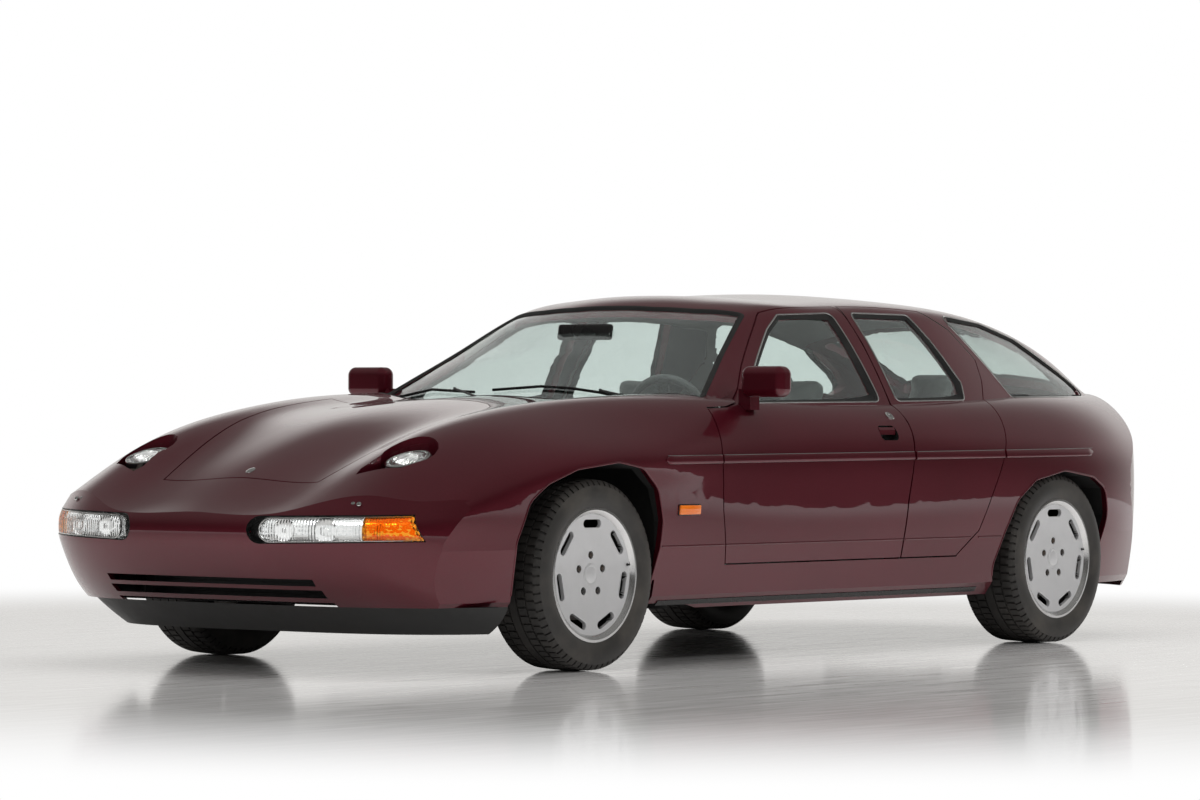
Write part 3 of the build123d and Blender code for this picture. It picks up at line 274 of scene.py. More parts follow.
def spline_matrix(knots, samples):
    """Turns values at the knots into values of a smooth cubic spline at the samples."""
    n = len(knots)
    h = np.diff(knots)
    one = np.eye(n)
    left, right = np.zeros(n), np.zeros(n)
    left[:4] = start_slope(knots[:4])
    right[-4:] = start_slope(knots[::-1][:4])[::-1]
    a, b = np.zeros((n, n)), np.zeros((n, n))
    a[0, :2] = 2 * h[0], h[0]
    b[0] = 6 * ((one[1] - one[0]) / h[0] - left)
    a[-1, -2:] = h[-1], 2 * h[-1]
    b[-1] = 6 * (right - (one[-1] - one[-2]) / h[-1])
    for i in range(1, n - 1):
        a[i, i - 1 : i + 2] = h[i - 1], 2 * (h[i - 1] + h[i]), h[i]
        b[i] = 6 * ((one[i + 1] - one[i]) / h[i] - (one[i] - one[i - 1]) / h[i - 1])
    bend = np.linalg.solve(a, b)
    rows = []
    for s in samples:
        i = min(max(int(np.searchsorted(knots, s)) - 1, 0), n - 2)
        p, q, w = knots[i + 1] - s, s - knots[i], h[i]
        rows.append(
            bend[i] * (p**3 / (6 * w) - w * p / 6) + bend[i + 1] * (q**3 / (6 * w) - w * q / 6) + one[i] * p / w
            + one[i + 1] * q / w
        )
    return np.array(rows)


def full(half):
    """A half section from the left side to the centre, carried on to the right side."""
    return half + [(-y, z) for y, z in reversed(half[:-1])]


def lower_half(x):
    """Half section of the lower body from the crease up to the spine, as (y, z) points."""
    return [
        (crease_y(x), CREASE_Z),
        ((crease_y(x) + 2 * waist_y(x)) / 3 + 1, (CREASE_Z + waist_z(x)) / 2 + 10),
        (waist_y(x), waist_z(x)),
        (flank_y(x), flank_z(x)),
        (shoulder_y(x), shoulder_z(x)),
        (crown_y(x), crown_z(x)),
        (0, spine_z(x)),
    ]


def cabin_half(x):
    """Half section of the greenhouse from its base up to the ridge."""
    yb, yr, zr, zc = belt_y(x), rail_y(x), rail_z(x), ridge_z(x)
    lean = (yb - yr) / max(zr - BELT_Z, 150.0)
    if zr < TUCK_Z + 60:
        base = (yr + 4, min(TUCK_Z, zr - 45))
    else:
        base = (yb + (BELT_Z - TUCK_Z) * lean, TUCK_Z)
    side = (base[0] - yr, base[1] - zr)
    size = math.hypot(*side)
    down = min(60.0, 0.3 * size)
    bulge = 10.0 * min(1.0, size / 300)
    low = (yr + side[0] * 0.72 + bulge * 0.8, zr + side[1] * 0.72)
    mid = (yr + side[0] * 0.42 + bulge, zr + side[1] * 0.42)
    start = (yr + side[0] / size * down, zr + side[1] / size * down)

    def roof(share):
        return (yr * share, zc - (zc - zr) * share**2)

    end = roof(0.88)
    corner = (0.25 * start[0] + 0.5 * yr + 0.25 * end[0], 0.25 * start[1] + 0.5 * zr + 0.25 * end[1])
    return [base, low, mid, start, corner, end, roof(0.6), roof(0.3), (0, zc)]


def section_grid(half_section, first, last, like):
    """Rows of points round half of each section from the tail to the nose."""
    matrix = spline_matrix(fractions(full(half_section(like))), ACROSS)
    rows = []
    for x in np.arange(first, last + 1, ROW_STEP):
        around = matrix @ np.array(full(half_section(x)), float)
        rows.append([(x, y, z) for y, z in around])
    return np.array(rows) / 1000


def sill_grids():
    """The flat faces under the crease: the sill and the roll to the floor."""
    upper, lower = [], []
    for x in np.arange(-2450, 2451, ROW_STEP):
        edge, sill, keel = (crease_y(x), CREASE_Z), (sill_y(x), SILL_Z), (sill_y(x) - 40, FLOOR_Z)
        upper.append(
            [
                (x, a * edge[0] + (1 - a) * sill[0], a * edge[1] + (1 - a) * sill[1])
                for a in (0, 0.25, 0.5, 0.75, 1)
            ]
        )
        lower.append([(x, a * sill[0] + (1 - a) * keel[0], a * sill[1] + (1 - a) * keel[1]) for a in (0, 0.5, 1)])
    return [np.array(upper) / 1000, np.array(lower) / 1000]


def end_grid(centre, reach_x, power):
    """Rows of points round the left half of the nose or the tail, by height."""
    turns = [math.pi / 2 * i / 12 for i in range(-12, 13)]
    rows = []

    def outline(z):
        reach = reach_x(z) - centre
        return [
            (
                centre + reach * math.cos(t) ** (2 / power) if abs(t) < 1.57 else centre,
                PLAN_HALF_WIDTH * math.copysign(abs(math.sin(t)) ** (2 / power), t),
            )
            for t in turns
        ]

    matrix = spline_matrix(fractions(outline(500.0)), np.linspace(0.47, 1, 80))
    for z in np.arange(90, 1331, ROW_STEP / 2):
        rows.append([(x, y, z) for x, y in matrix @ np.array(outline(z), float)])
    return np.array(rows) / 1000


def grid_mesh(grid):
    """Points, triangles and outward normals of a grid of points."""
    along, across = np.gradient(grid, axis=0), np.gradient(grid, axis=1)
    normals = np.cross(along, across)
    normals /= np.maximum(np.linalg.norm(normals, axis=2, keepdims=True), 1e-12)
    outward = grid - np.array([0, 0, 0.45])
    outward[..., 0] = grid[..., 0] * 0.3
    if (normals * outward).sum() < 0:
        normals = -normals
    rows, columns = grid.shape[:2]
    index = np.arange(rows * columns).reshape(rows, columns)
    a, b, c, d = index[:-1, :-1].ravel(), index[1:, :-1].ravel(), index[1:, 1:].ravel(), index[:-1, 1:].ravel()
    return grid.reshape(-1, 3), np.concatenate(
        [np.stack([a, b, c], 1), np.stack([a, c, d], 1)]
    ), normals.reshape(-1, 3)


class Skin:
    """A smooth surface of the left half of the body; the right half mirrors it."""

    def __init__(self, grids):
        points, faces, normals, count = [], [], [], 0
        for grid in grids:
            p, f, n = grid_mesh(grid)
            points.append(p)
            faces.append(f + count)
            normals.append(n)
            count += len(p)
        self.points = [Vector(p) for p in np.concatenate(points)]
        self.faces = [tuple(int(i) for i in f) for f in np.concatenate(faces)]
        self.normals = [Vector(n) for n in np.concatenate(normals)]
        self.tree = BVHTree.FromPolygons(self.points, self.faces)

    def smooth_normal(self, place, face):
        a, b, c = self.faces[face]
        blend = geometry.barycentric_transform(
            place, self.points[a], self.points[b], self.points[c], self.normals[a], self.normals[b], self.normals[c]
        )
        return blend.normalized()

    def near(self, point, reach):
        """(distance, normal) of the surface by a point of either side, or None."""
        side = -1 if point.y < 0 else 1
        place, _, face, distance = self.tree.find_nearest(Vector((point.x, abs(point.y), point.z)), reach)
        if place is None:
            return None
        normal = self.smooth_normal(place, face)
        return distance, Vector((normal.x, normal.y * side, normal.z))

    def cast(self, start, direction):
        """(place, normal) where a ray from outside on the left half meets the surface."""
        place, _, face, _ = self.tree.ray_cast(Vector(start), Vector(direction))
        if place is None:
            raise ValueError(f"no skin under {start}")
        return place, self.smooth_normal(place, face)


flanks = Skin([section_grid(lower_half, -2450, 2450, 0), section_grid(cabin_half, -2500, 1140, -500), *sill_grids()])
ends = Skin([end_grid(FRONT_AXLE_X, nose_x, NOSE_POWER), end_grid(REAR_AXLE_X, tail_x, TAIL_POWER)])


def on_side(x, z):
    """Place and normal on the left side of the body at (x, z) in metres."""
    return flanks.cast((x, 1.4, z), (0, -1, 0))


def on_top(x, y):
    """Place and normal on the body's upper surface at (x, y) in metres, on the left half."""
    return flanks.cast((x, y, 1.6), (0, 0, -1))


def on_nose(y, z, tail=False):
    """Place and normal on the nose or the tail at (y, z) in metres, on the left half."""
    ahead = -1 if tail else 1
    return ends.cast((ahead * 3.0, y, z), (-ahead, 0, 0))


# ---------------- shared effects
def put(tree, socket, value):
    """Links a socket to an input, or sets the input's value."""
    if isinstance(value, bpy.types.NodeSocket):
        tree.links.new(value, socket)
    elif socket.type == "RGBA" and len(value) == 3:
        socket.default_value = (*value, 1)
    else:
        socket.default_value = value


def feed(tree, node, **values):
    """Links or sets a node's inputs by their names."""
    for key, value in values.items():
        put(tree, node.inputs[key.replace("_", " ")], value)
    return node


def add(tree, kind, *ordered, **settings):
    """A node of a kind: its first inputs in order, then in_NAME for an input and NAME for a setting."""
    node = tree.nodes.new(f"ShaderNode{kind}")
    for key, value in settings.items():
        if not key.startswith("in_"):
            setattr(node, key, value)
    for socket, value in zip(node.inputs, ordered):
        put(tree, socket, value)
    return feed(tree, node, **{key[3:]: value for key, value in settings.items() if key.startswith("in_")})


def sums(tree, operation, a, b, **settings):
    """Two numbers put together by a Math node."""
    return add(tree, "Math", a, b, operation=operation, **settings).outputs[0]


def ranged(tree, value, low, high, first=0.0, last=1.0, smooth=False):
    """A value brought from one range into another."""
    ends = {"From_Min": low, "From_Max": high, "To_Min": first, "To_Max": last}
    node = add(tree, "MapRange", interpolation_type="SMOOTHSTEP" if smooth else "LINEAR")
    return feed(tree, node, Value=value, **ends).outputs["Result"]


def mixed(tree, share, a, b, **settings):
    """Two colours mixed."""
    node = add(tree, "Mix", data_type="RGBA", **settings)
    for place, value in ((0, share), (6, a), (7, b)):
        put(tree, node.inputs[place], value)
    return node.outputs[2]


def noise(tree, place, **settings):
    return add(tree, "TexNoise", in_Vector=place, **settings).outputs["Fac"]


def object_place(tree):
    return add(tree, "TexCoord").outputs["Object"]


def new_group(name, inputs, outputs):
    """An empty node group with its sockets; returns the group and its end nodes."""
    group = bpy.data.node_groups.new(name, "ShaderNodeTree")
    kinds = {"c": "NodeSocketColor", "f": "NodeSocketFloat", "v": "NodeSocketVector"}
    for label, kind, value in inputs:
        socket = group.interface.new_socket(label, in_out="INPUT", socket_type=kinds[kind])
        socket.default_value = (*value, 1) if kind == "c" else value
    for label, kind in outputs:
        group.interface.new_socket(label, in_out="OUTPUT", socket_type=kinds[kind])
    return group, group.nodes.new("NodeGroupInput").outputs, group.nodes.new("NodeGroupOutput")


def flake_group():
    """Metal flakes: tiny cells of colour that catch the light unevenly, in a paint that varies slowly."""
    group, given, end = new_group(
        "paint_flake",
        [("Paint", "c", (0.1, 0.01, 0.02)), ("Flake", "c", (0.2, 0.02, 0.04)), ("Size", "f", 0.0008)],
        [("Color", "c"), ("Height", "f")],
    )
    place = object_place(group)
    cells = add(
        group, "TexVoronoi", feature="F1", in_Vector=place, in_Scale=sums(group, "DIVIDE", 1.0, given["Size"]),
    )
    level = ranged(group, cells.outputs["Color"], 0.55, 1.0, 0.0, 0.55)
    slow = ranged(group, noise(group, place, in_Scale=2.2, in_Detail=3.0, in_Roughness=0.5), 0.35, 0.65, 0.0, 0.16)
    share = sums(group, "ADD", level, slow, use_clamp=True)
    peel = noise(group, place, in_Scale=95.0, in_Detail=1.0)
    feed(group, end, Color=mixed(group, share, given["Paint"], given["Flake"]), Height=peel)
    return group


def grain_group():
    """Fine uneven grain with slow patches, for moulded, cast and rubber surfaces."""
    group, given, end = new_group(
        "surface_grain",
        [
            ("Colour", "c", (0.1, 0.1, 0.1)), ("Worn", "c", (0.2, 0.2, 0.2)), ("Size", "f", 0.002),
            ("Rough low", "f", 0.4), ("Rough high", "f", 0.6),
        ],
        [("Color", "c"), ("Roughness", "f"), ("Height", "f")],
    )
    place = object_place(group)
    fine = noise(group, place, in_Scale=sums(group, "DIVIDE", 1.0, given["Size"]), in_Detail=4.0, in_Roughness=0.6)
    slow = noise(group, place, in_Scale=7.0, in_Detail=5.0, in_Roughness=0.62)
    colour = mixed(group, ranged(group, slow, 0.42, 0.72), given["Colour"], given["Worn"])
    rough = ranged(group, slow, 0.3, 0.7, given["Rough low"], given["Rough high"])
    feed(group, end, Color=colour, Roughness=rough, Height=fine)
    return group


def leather_group():
    """Leather: pebbles parted by fine creases and shinier where it is sat on; its colour holds painted shade, darker
    in the hollows of its folds and lighter on their tops.
    """
    group, given, end = new_group(
        "leather_grain",
        [("Colour", "c", (0.1, 0.1, 0.1)), ("Pebble", "f", 0.0016)],
        [("Color", "c"), ("Roughness", "f"), ("Height", "f")],
    )
    place = object_place(group)
    size = sums(group, "DIVIDE", 1.0, given["Pebble"])
    cells = add(group, "TexVoronoi", feature="DISTANCE_TO_EDGE", in_Vector=place, in_Scale=size)
    folds = noise(group, place, in_Scale=14.0, in_Detail=6.0, in_Roughness=0.55, in_Distortion=0.6)
    # painted shade: the colour is darker in the hollows of the folds and lighter on their tops, following the noise
    # that also raises the relief
    crease_shaded_colour = mixed(group, 1.0, given["Colour"], ranged(group, folds, 0.25, 0.8, 0.55, 1.25), blend_type="MULTIPLY")
    height = sums(group, "ADD", ranged(group, cells.outputs["Distance"], 0.0, 0.22), folds)
    feed(group, end, Color=crease_shaded_colour, Roughness=ranged(group, folds, 0.3, 0.7, 0.34, 0.52), Height=height)
    return group


def flute_group():
    """Upright ribs moulded in lamp glass, as a height."""
    inputs = [("Ribs", "f", 60.0), ("Direction", "v", (0, 1, 0))]
    group, given, end = new_group("lamp_flutes", inputs, [("Height", "f")])
    along = add(
        group, "VectorMath", object_place(group), given["Direction"], operation="DOT_PRODUCT",
    ).outputs["Value"]
    rib = sums(group, "PINGPONG", sums(group, "MULTIPLY", along, given["Ribs"]), 0.5)
    feed(group, end, Height=sums(group, "POWER", sums(group, "MULTIPLY", rib, 2.0), 0.6))
    return group


# ---------------- materials
MATERIALS = {}


def new_material(name):
    """A listed material; returns its tree and its shader."""
    material = bpy.data.materials.new(name)
    material.use_nodes = True
    MATERIALS[name] = material
    return material.node_tree, material.node_tree.nodes["Principled BSDF"]


def bump(tree, height, shader, strength, distance):
    node = add(tree, "Bump", in_Strength=strength, in_Distance=distance, in_Height=height)
    feed(tree, shader, Normal=node.outputs["Normal"])


def place_group(tree, group, **values):
    node = tree.nodes.new("ShaderNodeGroup")
    node.node_tree = group
    return feed(tree, node, **values).outputs


def show(tree, share, a, b):
    """Sends two shaders, mixed, to the surface."""
    surface = add(tree, "MixShader", share, a, b).outputs["Shader"]
    feed(tree, tree.nodes["Material Output"], Surface=surface)


def paint(name, group, colour, flake, gloss):
    """Metallic paint under a clear lacquer."""
    tree, shader = new_material(name)
    flakes = place_group(tree, group, Paint=colour, Flake=flake, Size=0.0009)
    feed(
        tree, shader, Base_Color=flakes["Color"], Metallic=0.7, Roughness=0.38, Coat_Weight=1.0, Coat_Roughness=gloss,
        Coat_IOR=1.5,
    )
    bump(tree, flakes["Height"], shader, 0.02, 0.0004)


def grained(name, group, colour, worn, size=0.002, rough=(0.4, 0.6), height=(0.25, 0.0004), **more):
    """A moulded, cast or rubber finish."""
    tree, shader = new_material(name)
    grain = place_group(tree, group, Colour=colour, Worn=worn, Size=size, Rough_low=rough[0], Rough_high=rough[1])
    feed(tree, shader, Base_Color=grain["Color"], Roughness=grain["Roughness"], **more)
    bump(tree, grain["Height"], shader, *height)


def leather(name, group, colour, pebble=0.0016):
    tree, shader = new_material(name)
    hide = place_group(tree, group, Colour=colour, Pebble=pebble)
    feed(
        tree, shader, Base_Color=hide["Color"], Roughness=hide["Roughness"], Sheen_Weight=0.15, Coat_Weight=0.12,
        Coat_Roughness=0.3,
    )
    bump(tree, hide["Height"], shader, 0.3, 0.0005)


def glass(name, grain, colour, flutes=None, ribs=60.0):
    """Glass that light may pass through to what lies behind it, with moulded ribs on lamps."""
    tree, shader = new_material(name)
    worn = tuple(0.97 * c for c in colour)
    film = place_group(tree, grain, Colour=colour, Worn=worn, Size=0.05, Rough_low=0.0, Rough_high=0.02)
    feed(tree, shader, Base_Color=film["Color"], Roughness=film["Roughness"], Transmission_Weight=1.0, IOR=1.45)
    if flutes:
        bump(tree, place_group(tree, flutes, Ribs=ribs, Direction=(0, 1, 0))["Height"], shader, 0.6, 0.004)
    clear = add(tree, "BsdfTransparent", in_Color=colour)
    show(tree, add(tree, "LightPath").outputs["Is Shadow Ray"], shader.outputs["BSDF"], clear.outputs["BSDF"])


METAL, BRIGHT = {"Metallic": 0.9}, {"Metallic": 1.0}
LACQUERED = {"Coat_Weight": 1.0, "Coat_Roughness": 0.02}
# Colour, worn colour, size of the grain, roughness from and to, strength and depth of the relief
GRAINED = {
    "black_plastic": ((0.014, 0.014, 0.014), (0.024, 0.023, 0.022), 0.0012, (0.38, 0.55)),
    "satin_black": ((0.009, 0.009, 0.009), (0.016, 0.015, 0.015), 0.004, (0.22, 0.34), (0.1, 0.0002)),
    "rubber_seal": ((0.011, 0.011, 0.011), (0.022, 0.021, 0.02), 0.002, (0.5, 0.7)),
    "tyre_rubber": ((0.030, 0.028, 0.026), (0.058, 0.053, 0.048), 0.003, (0.55, 0.78), (0.35, 0.0006)),
    "tyre_wall": ((0.036, 0.034, 0.032), (0.075, 0.068, 0.06), 0.0022, (0.42, 0.62), (0.25, 0.0004)),
    "underseal": ((0.010, 0.010, 0.010), (0.028, 0.025, 0.022), 0.006, (0.7, 0.95), (0.6, 0.0015)),
    "inner_arch": ((0.008, 0.008, 0.008), (0.014, 0.013, 0.012), 0.008, (0.75, 0.95), (0.5, 0.001)),
    "cast_steel": ((0.11, 0.11, 0.11), (0.17, 0.13, 0.10), 0.003, (0.5, 0.75), (0.4, 0.0008), {"Metallic": 0.85}),
    "cast_alloy": ((0.34, 0.34, 0.33), (0.24, 0.235, 0.22), 0.002, (0.42, 0.6), (0.35, 0.0006), METAL),
    "cover_enamel": ((0.02, 0.02, 0.022), (0.04, 0.04, 0.04), 0.0015, (0.35, 0.5), (0.4, 0.0005)),
    "brake_steel": ((0.28, 0.27, 0.26), (0.20, 0.16, 0.13), 0.0015, (0.3, 0.45), (0.3, 0.0003), {"Metallic": 0.95}),
    "exhaust_steel": ((0.30, 0.28, 0.26), (0.16, 0.12, 0.09), 0.003, (0.35, 0.6), (0.3, 0.0005), METAL),
    "bright_trim": ((0.80, 0.80, 0.79), (0.68, 0.68, 0.67), 0.01, (0.08, 0.16), (0.05, 0.0001), BRIGHT),
    "reflector": ((0.92, 0.92, 0.91), (0.86, 0.86, 0.85), 0.02, (0.05, 0.12), (0.05, 0.0002), BRIGHT),
    "mirror_glass": ((0.06, 0.06, 0.065), (0.07, 0.07, 0.072), 0.02, (0.01, 0.03), (0.0, 0.0001), METAL),
    "wheel_rim": ((0.85, 0.85, 0.85), (0.74, 0.74, 0.74), 0.006, (0.14, 0.26), (0.08, 0.0001), {"Metallic": 0.95}),
    "headlining": (
        (0.30, 0.30, 0.28), (0.26, 0.26, 0.245), 0.0012, (0.8, 0.95), (0.5, 0.0006), {"Sheen_Weight": 0.2},
    ),
    "carpet": (
        (0.020, 0.020, 0.021), (0.034, 0.033, 0.033), 0.0016, (0.85, 1.0), (0.9, 0.002), {"Sheen_Weight": 0.3},
    ),
    "plate_blank": ((0.70, 0.69, 0.64), (0.64, 0.63, 0.58), 0.004, (0.3, 0.42), (0.15, 0.0003)),
    "lamp_amber": ((0.95, 0.22, 0.015), (0.85, 0.16, 0.01), 0.004, (0.08, 0.16), (0.1, 0.0004), LACQUERED),
    "lamp_red": ((0.42, 0.008, 0.008), (0.34, 0.006, 0.006), 0.004, (0.08, 0.16), (0.1, 0.0004), LACQUERED),
}


class SEDAN_OT_finishes(Operator):
    """Paint, glass, rubber, metal and leather"""

    bl_idname = "sedan.finishes"
    bl_label = "Finishes"

    def execute(self, context):
        sizes = context.scene.sedan_paint
        grain, hide, flutes = grain_group(), leather_group(), flute_group()
        paint("wine_paint", flake_group(), tuple(sizes.colour), tuple(sizes.flake), sizes.gloss)
        for name, values in GRAINED.items():
            more = values[-1] if isinstance(values[-1], dict) else {}
            grained(name, grain, *[value for value in values if value is not more], **more)
        silver = tuple(context.scene.sedan_wheels.silver)
        worn = tuple(0.93 * c for c in silver)
        lacquer = {"Metallic": 0.35, "Coat_Weight": 0.7, "Coat_Roughness": 0.06}
        grained("wheel_silver", grain, silver, worn, 0.0012, (0.30, 0.40), (0.12, 0.0002), **lacquer)
        trim_colour = tuple(context.scene.sedan_cabin.leather)
        leather("seat_leather", hide, trim_colour)
        leather("door_leather", hide, tuple(0.8 * c for c in trim_colour), 0.0022)
        leather("dash_leather", hide, (0.022, 0.023, 0.023), 0.0014)
        glass("window_glass", grain, (0.80, 0.87, 0.845))
        glass("rear_window_glass", grain, (0.76, 0.84, 0.81))
        glass("lamp_glass", grain, (0.96, 0.97, 0.97), flutes, 95.0)
        glass("popup_lamp_glass", grain, (0.95, 0.96, 0.96), flutes, 120.0)
        glass("amber_glass", grain, (1.0, 0.36, 0.03), flutes, 140.0)
        return {"FINISHED"}


# ---------------- making pieces
def alone(obj):
    """Selects one object only and makes it the active one."""
    bpy.ops.object.select_all(action="DESELECT")
    obj.hide_viewport = False
    obj.select_set(True)
    bpy.context.view_layer.objects.active = obj
    return obj


def editing(obj, kind="FACE"):
    """Opens a piece for editing of its faces, edges or vertices."""
    alone(obj)
    bpy.ops.object.mode_set(mode="EDIT")
    bpy.ops.mesh.select_mode(type=kind)


def done():
    bpy.ops.object.mode_set(mode="OBJECT")


def choose(obj, test):
    """Selects in edit mode the faces that pass a test."""
    done()
    mesh = obj.data
    for group in (mesh.vertices, mesh.edges, mesh.polygons):
        group.foreach_set("select", [False] * len(group))
    for face in mesh.polygons:
        face.select = test(face)
    bpy.ops.object.mode_set(mode="EDIT")
    bpy.ops.mesh.select_mode(type="FACE")


def named(name):
    """Names the object just made."""
    obj = bpy.context.active_object
    obj.name = obj.data.name = name
    return obj


def finished(obj, body, slot, materials, angle=35):
    """Smooths a piece, gives it its finishes and hangs it on its body."""
    alone(obj)
    bpy.ops.object.transform_apply(location=True, rotation=True, scale=True)
    bpy.ops.object.shade_smooth_by_angle(angle=math.radians(angle))
    obj.data.materials.clear()
    for material in (materials,) if isinstance(materials, str) else materials:
        obj.data.materials.append(MATERIALS[material])
    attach(obj, body)
    return obj


def block(name, centre, size, radius, turn=(0, 0, 0), segments=3):
    """A box with rounded edges, turned about its middle."""
    bpy.ops.object.select_all(action="DESELECT")
    bpy.ops.mesh.primitive_cube_add(size=1, location=(0, 0, 0))
    obj = named(name)
    obj.scale = size
    bpy.ops.object.transform_apply(location=False, rotation=False, scale=True)
    bpy.ops.object.mode_set(mode="EDIT")
    bpy.ops.mesh.select_all(action="SELECT")
    bpy.ops.mesh.bevel(offset=radius, segments=segments, affect="EDGES")
    done()
    obj.rotation_euler = turn
    obj.location = centre
    bpy.ops.object.transform_apply(location=True, rotation=True, scale=True)
    return obj


def turned(name, profile, centre, axis, steps=48, closed=False):
    """Spins a profile of (radius, distance along the axis) about an axis."""
    centre, axis = Vector(centre), Vector(axis).normalized()
    out = axis.orthogonal().normalized()
    points = [centre + out * r + axis * h for r, h in profile]
    count = len(points)
    edges = [(i, i + 1) for i in range(count - 1)] + ([(count - 1, 0)] if closed else [])
    mesh = bpy.data.meshes.new(name)
    mesh.from_pydata(points, edges, [])
    obj = bpy.data.objects.new(name, mesh)
    bpy.context.scene.collection.objects.link(obj)
    editing(obj, "VERT")
    bpy.ops.mesh.select_all(action="SELECT")
    bpy.ops.mesh.spin(steps=steps, angle=2 * math.pi, center=centre, axis=axis)
    bpy.ops.mesh.select_all(action="SELECT")
    bpy.ops.mesh.remove_doubles(threshold=0.00002)
    bpy.ops.mesh.select_all(action="SELECT")
    bpy.ops.mesh.normals_make_consistent(inside=False)
    done()
    return obj


def bead(name, path, ups, section, closed=True):
    """Sweeps a section of (across, up) points along a path; across lies to the path's right, seen from above."""
    count = len(path)
    verts = []
    for i, (point, up) in enumerate(zip(path, ups)):
        before = path[i - 1] if closed or i else point
        after = path[(i + 1) % count] if closed or i < count - 1 else point
        side = (after - before).normalized().cross(up).normalized()
        shape = section(i) if callable(section) else section
        verts += [point + side * a + up * u for a, u in shape]
    size = len(verts) // count
    faces = []
    for i in range(count if closed else count - 1):
        a, b = i * size, (i + 1) % count * size
        faces += [(a + k, a + (k + 1) % size, b + (k + 1) % size, b + k) for k in range(size)]
    if not closed:
        faces += [tuple(range(size)), tuple(range(len(verts) - size, len(verts)))]
    mesh = bpy.data.meshes.new(name)
    mesh.from_pydata(verts, [], faces)
    obj = bpy.data.objects.new(name, mesh)
    bpy.context.scene.collection.objects.link(obj)
    editing(obj)
    bpy.ops.mesh.select_all(action="SELECT")
    bpy.ops.mesh.normals_make_consistent(inside=False)
    done()
    return obj


def joined(name, objects):
    """Several meshes as one piece."""
    bpy.ops.object.select_all(action="DESELECT")
    for obj in objects:
        obj.select_set(True)
    bpy.context.view_layer.objects.active = objects[0]
    if len(objects) > 1:
        bpy.ops.object.join()
    objects[0].name = objects[0].data.name = name
    return objects[0]


def copied(obj, name, matrix, body=None):
    """A copy with its own mesh, moved by a matrix; a mirroring one is turned right side out."""
    twin = obj.copy()
    twin.data = obj.data.copy()
    twin.name = twin.data.name = name
    bpy.context.scene.collection.objects.link(twin)
    twin.data.transform(matrix)
    if matrix.determinant() < 0:
        twin.data.flip_normals()
    if body:
        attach(twin, body)
    return twin


MIRROR = Matrix.Scale(-1, 4, (0, 1, 0))


def pair(obj, slot, materials, body="body", angle=35):
    """Finishes a left-hand piece and adds its mirror image; a body other than the main one has a left and a right."""
    left, right = (body, body) if body == "body" else (f"{body}_left", f"{body}_right")
    base = obj.name
    finished(obj, left, slot, materials, angle)
    obj.name = obj.data.name = f"{base}_left"
    return obj, copied(obj, f"{base}_right", MIRROR, right)


def cad_copy(node, name, angle=28):
    """A merged copy of a CAD node, which it replaces."""
    source = NODES[node]
    twin = source.copy()
    twin.data = source.data.copy()
    twin.name = twin.data.name = name
    bpy.context.scene.collection.objects.link(twin)
    if "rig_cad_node" in twin:
        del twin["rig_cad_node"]
    editing(twin, "VERT")
    bpy.ops.mesh.select_all(action="SELECT")
    bpy.ops.mesh.customdata_custom_splitnormals_clear()
    bpy.ops.mesh.remove_doubles(threshold=0.000005)
    done()
    bpy.ops.object.shade_smooth_by_angle(angle=math.radians(angle))
    twin.data.materials.clear()
    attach(twin, BODY_OF[node])
    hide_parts(node)
    return twin


SKIN_REACH, SKIN_TURN = 0.0018, 0.965


def follow_skin(obj):
    """Gives the outer faces of a panel the normals of the smooth body surface. Returns which faces they are."""
    mesh = obj.data
    normals = np.zeros(len(mesh.loops) * 3)
    mesh.corner_normals.foreach_get("vector", normals)
    normals = normals.reshape(-1, 3)
    outer = set()
    for face in mesh.polygons:
        for skin in (flanks, ends):
            found = skin.near(face.center, SKIN_REACH)
            if not found or found[1].dot(face.normal) < SKIN_TURN:
                continue
            outer.add(face.index)
            for loop in face.loop_indices:
                corner = mesh.vertices[mesh.loops[loop].vertex_index].co
                there = skin.near(corner.lerp(face.center, 0.03), 2 * SKIN_REACH)
                if there and there[1].dot(face.normal) > 0.9:
                    normals[loop] = there[1]
            break
    mesh.normals_split_custom_set([tuple(n) for n in normals])
    return outer


def finish_faces(obj, materials, pick):
    """Gives each face the finish that pick(face) names by its number."""
    for material in materials:
        obj.data.materials.append(MATERIALS[material])
    for face in obj.data.polygons:
        face.material_index = pick(face)


def dress(node, material):
    """Gives a CAD node one finish."""
    slots = NODES[node].data.materials
    slots.clear()
    slots.append(MATERIALS[material])


# ---------------- camera and stage
CAMERA_PLACE = (13.8943, 10.8074, 0.8486)
CAMERA_YAW = 3.81128
CAMERA_PITCH = 0.00245
CAMERA_ROLL = 0.00453
VIEW_WAY = (-0.79, -0.61, 0.0)  # from the camera to the car and on to the backdrop
FLOOR_FADE, FLOOR_REACH = 3.6, 6.6  # radii between which the floor fades into the white behind it


def camera_matrix():
    level = math.cos(CAMERA_PITCH)
    ahead = Vector((level * math.cos(CAMERA_YAW), level * math.sin(CAMERA_YAW), math.sin(CAMERA_PITCH)))
    across = ahead.cross(Vector((0, 0, 1))).normalized()
    up = across.cross(ahead)
    right = across * math.cos(CAMERA_ROLL) + up * math.sin(CAMERA_ROLL)
    top = up * math.cos(CAMERA_ROLL) - across * math.sin(CAMERA_ROLL)
    turn = Matrix((right, top, -ahead)).transposed()
    return Matrix.Translation(CAMERA_PLACE) @ turn.to_4x4()


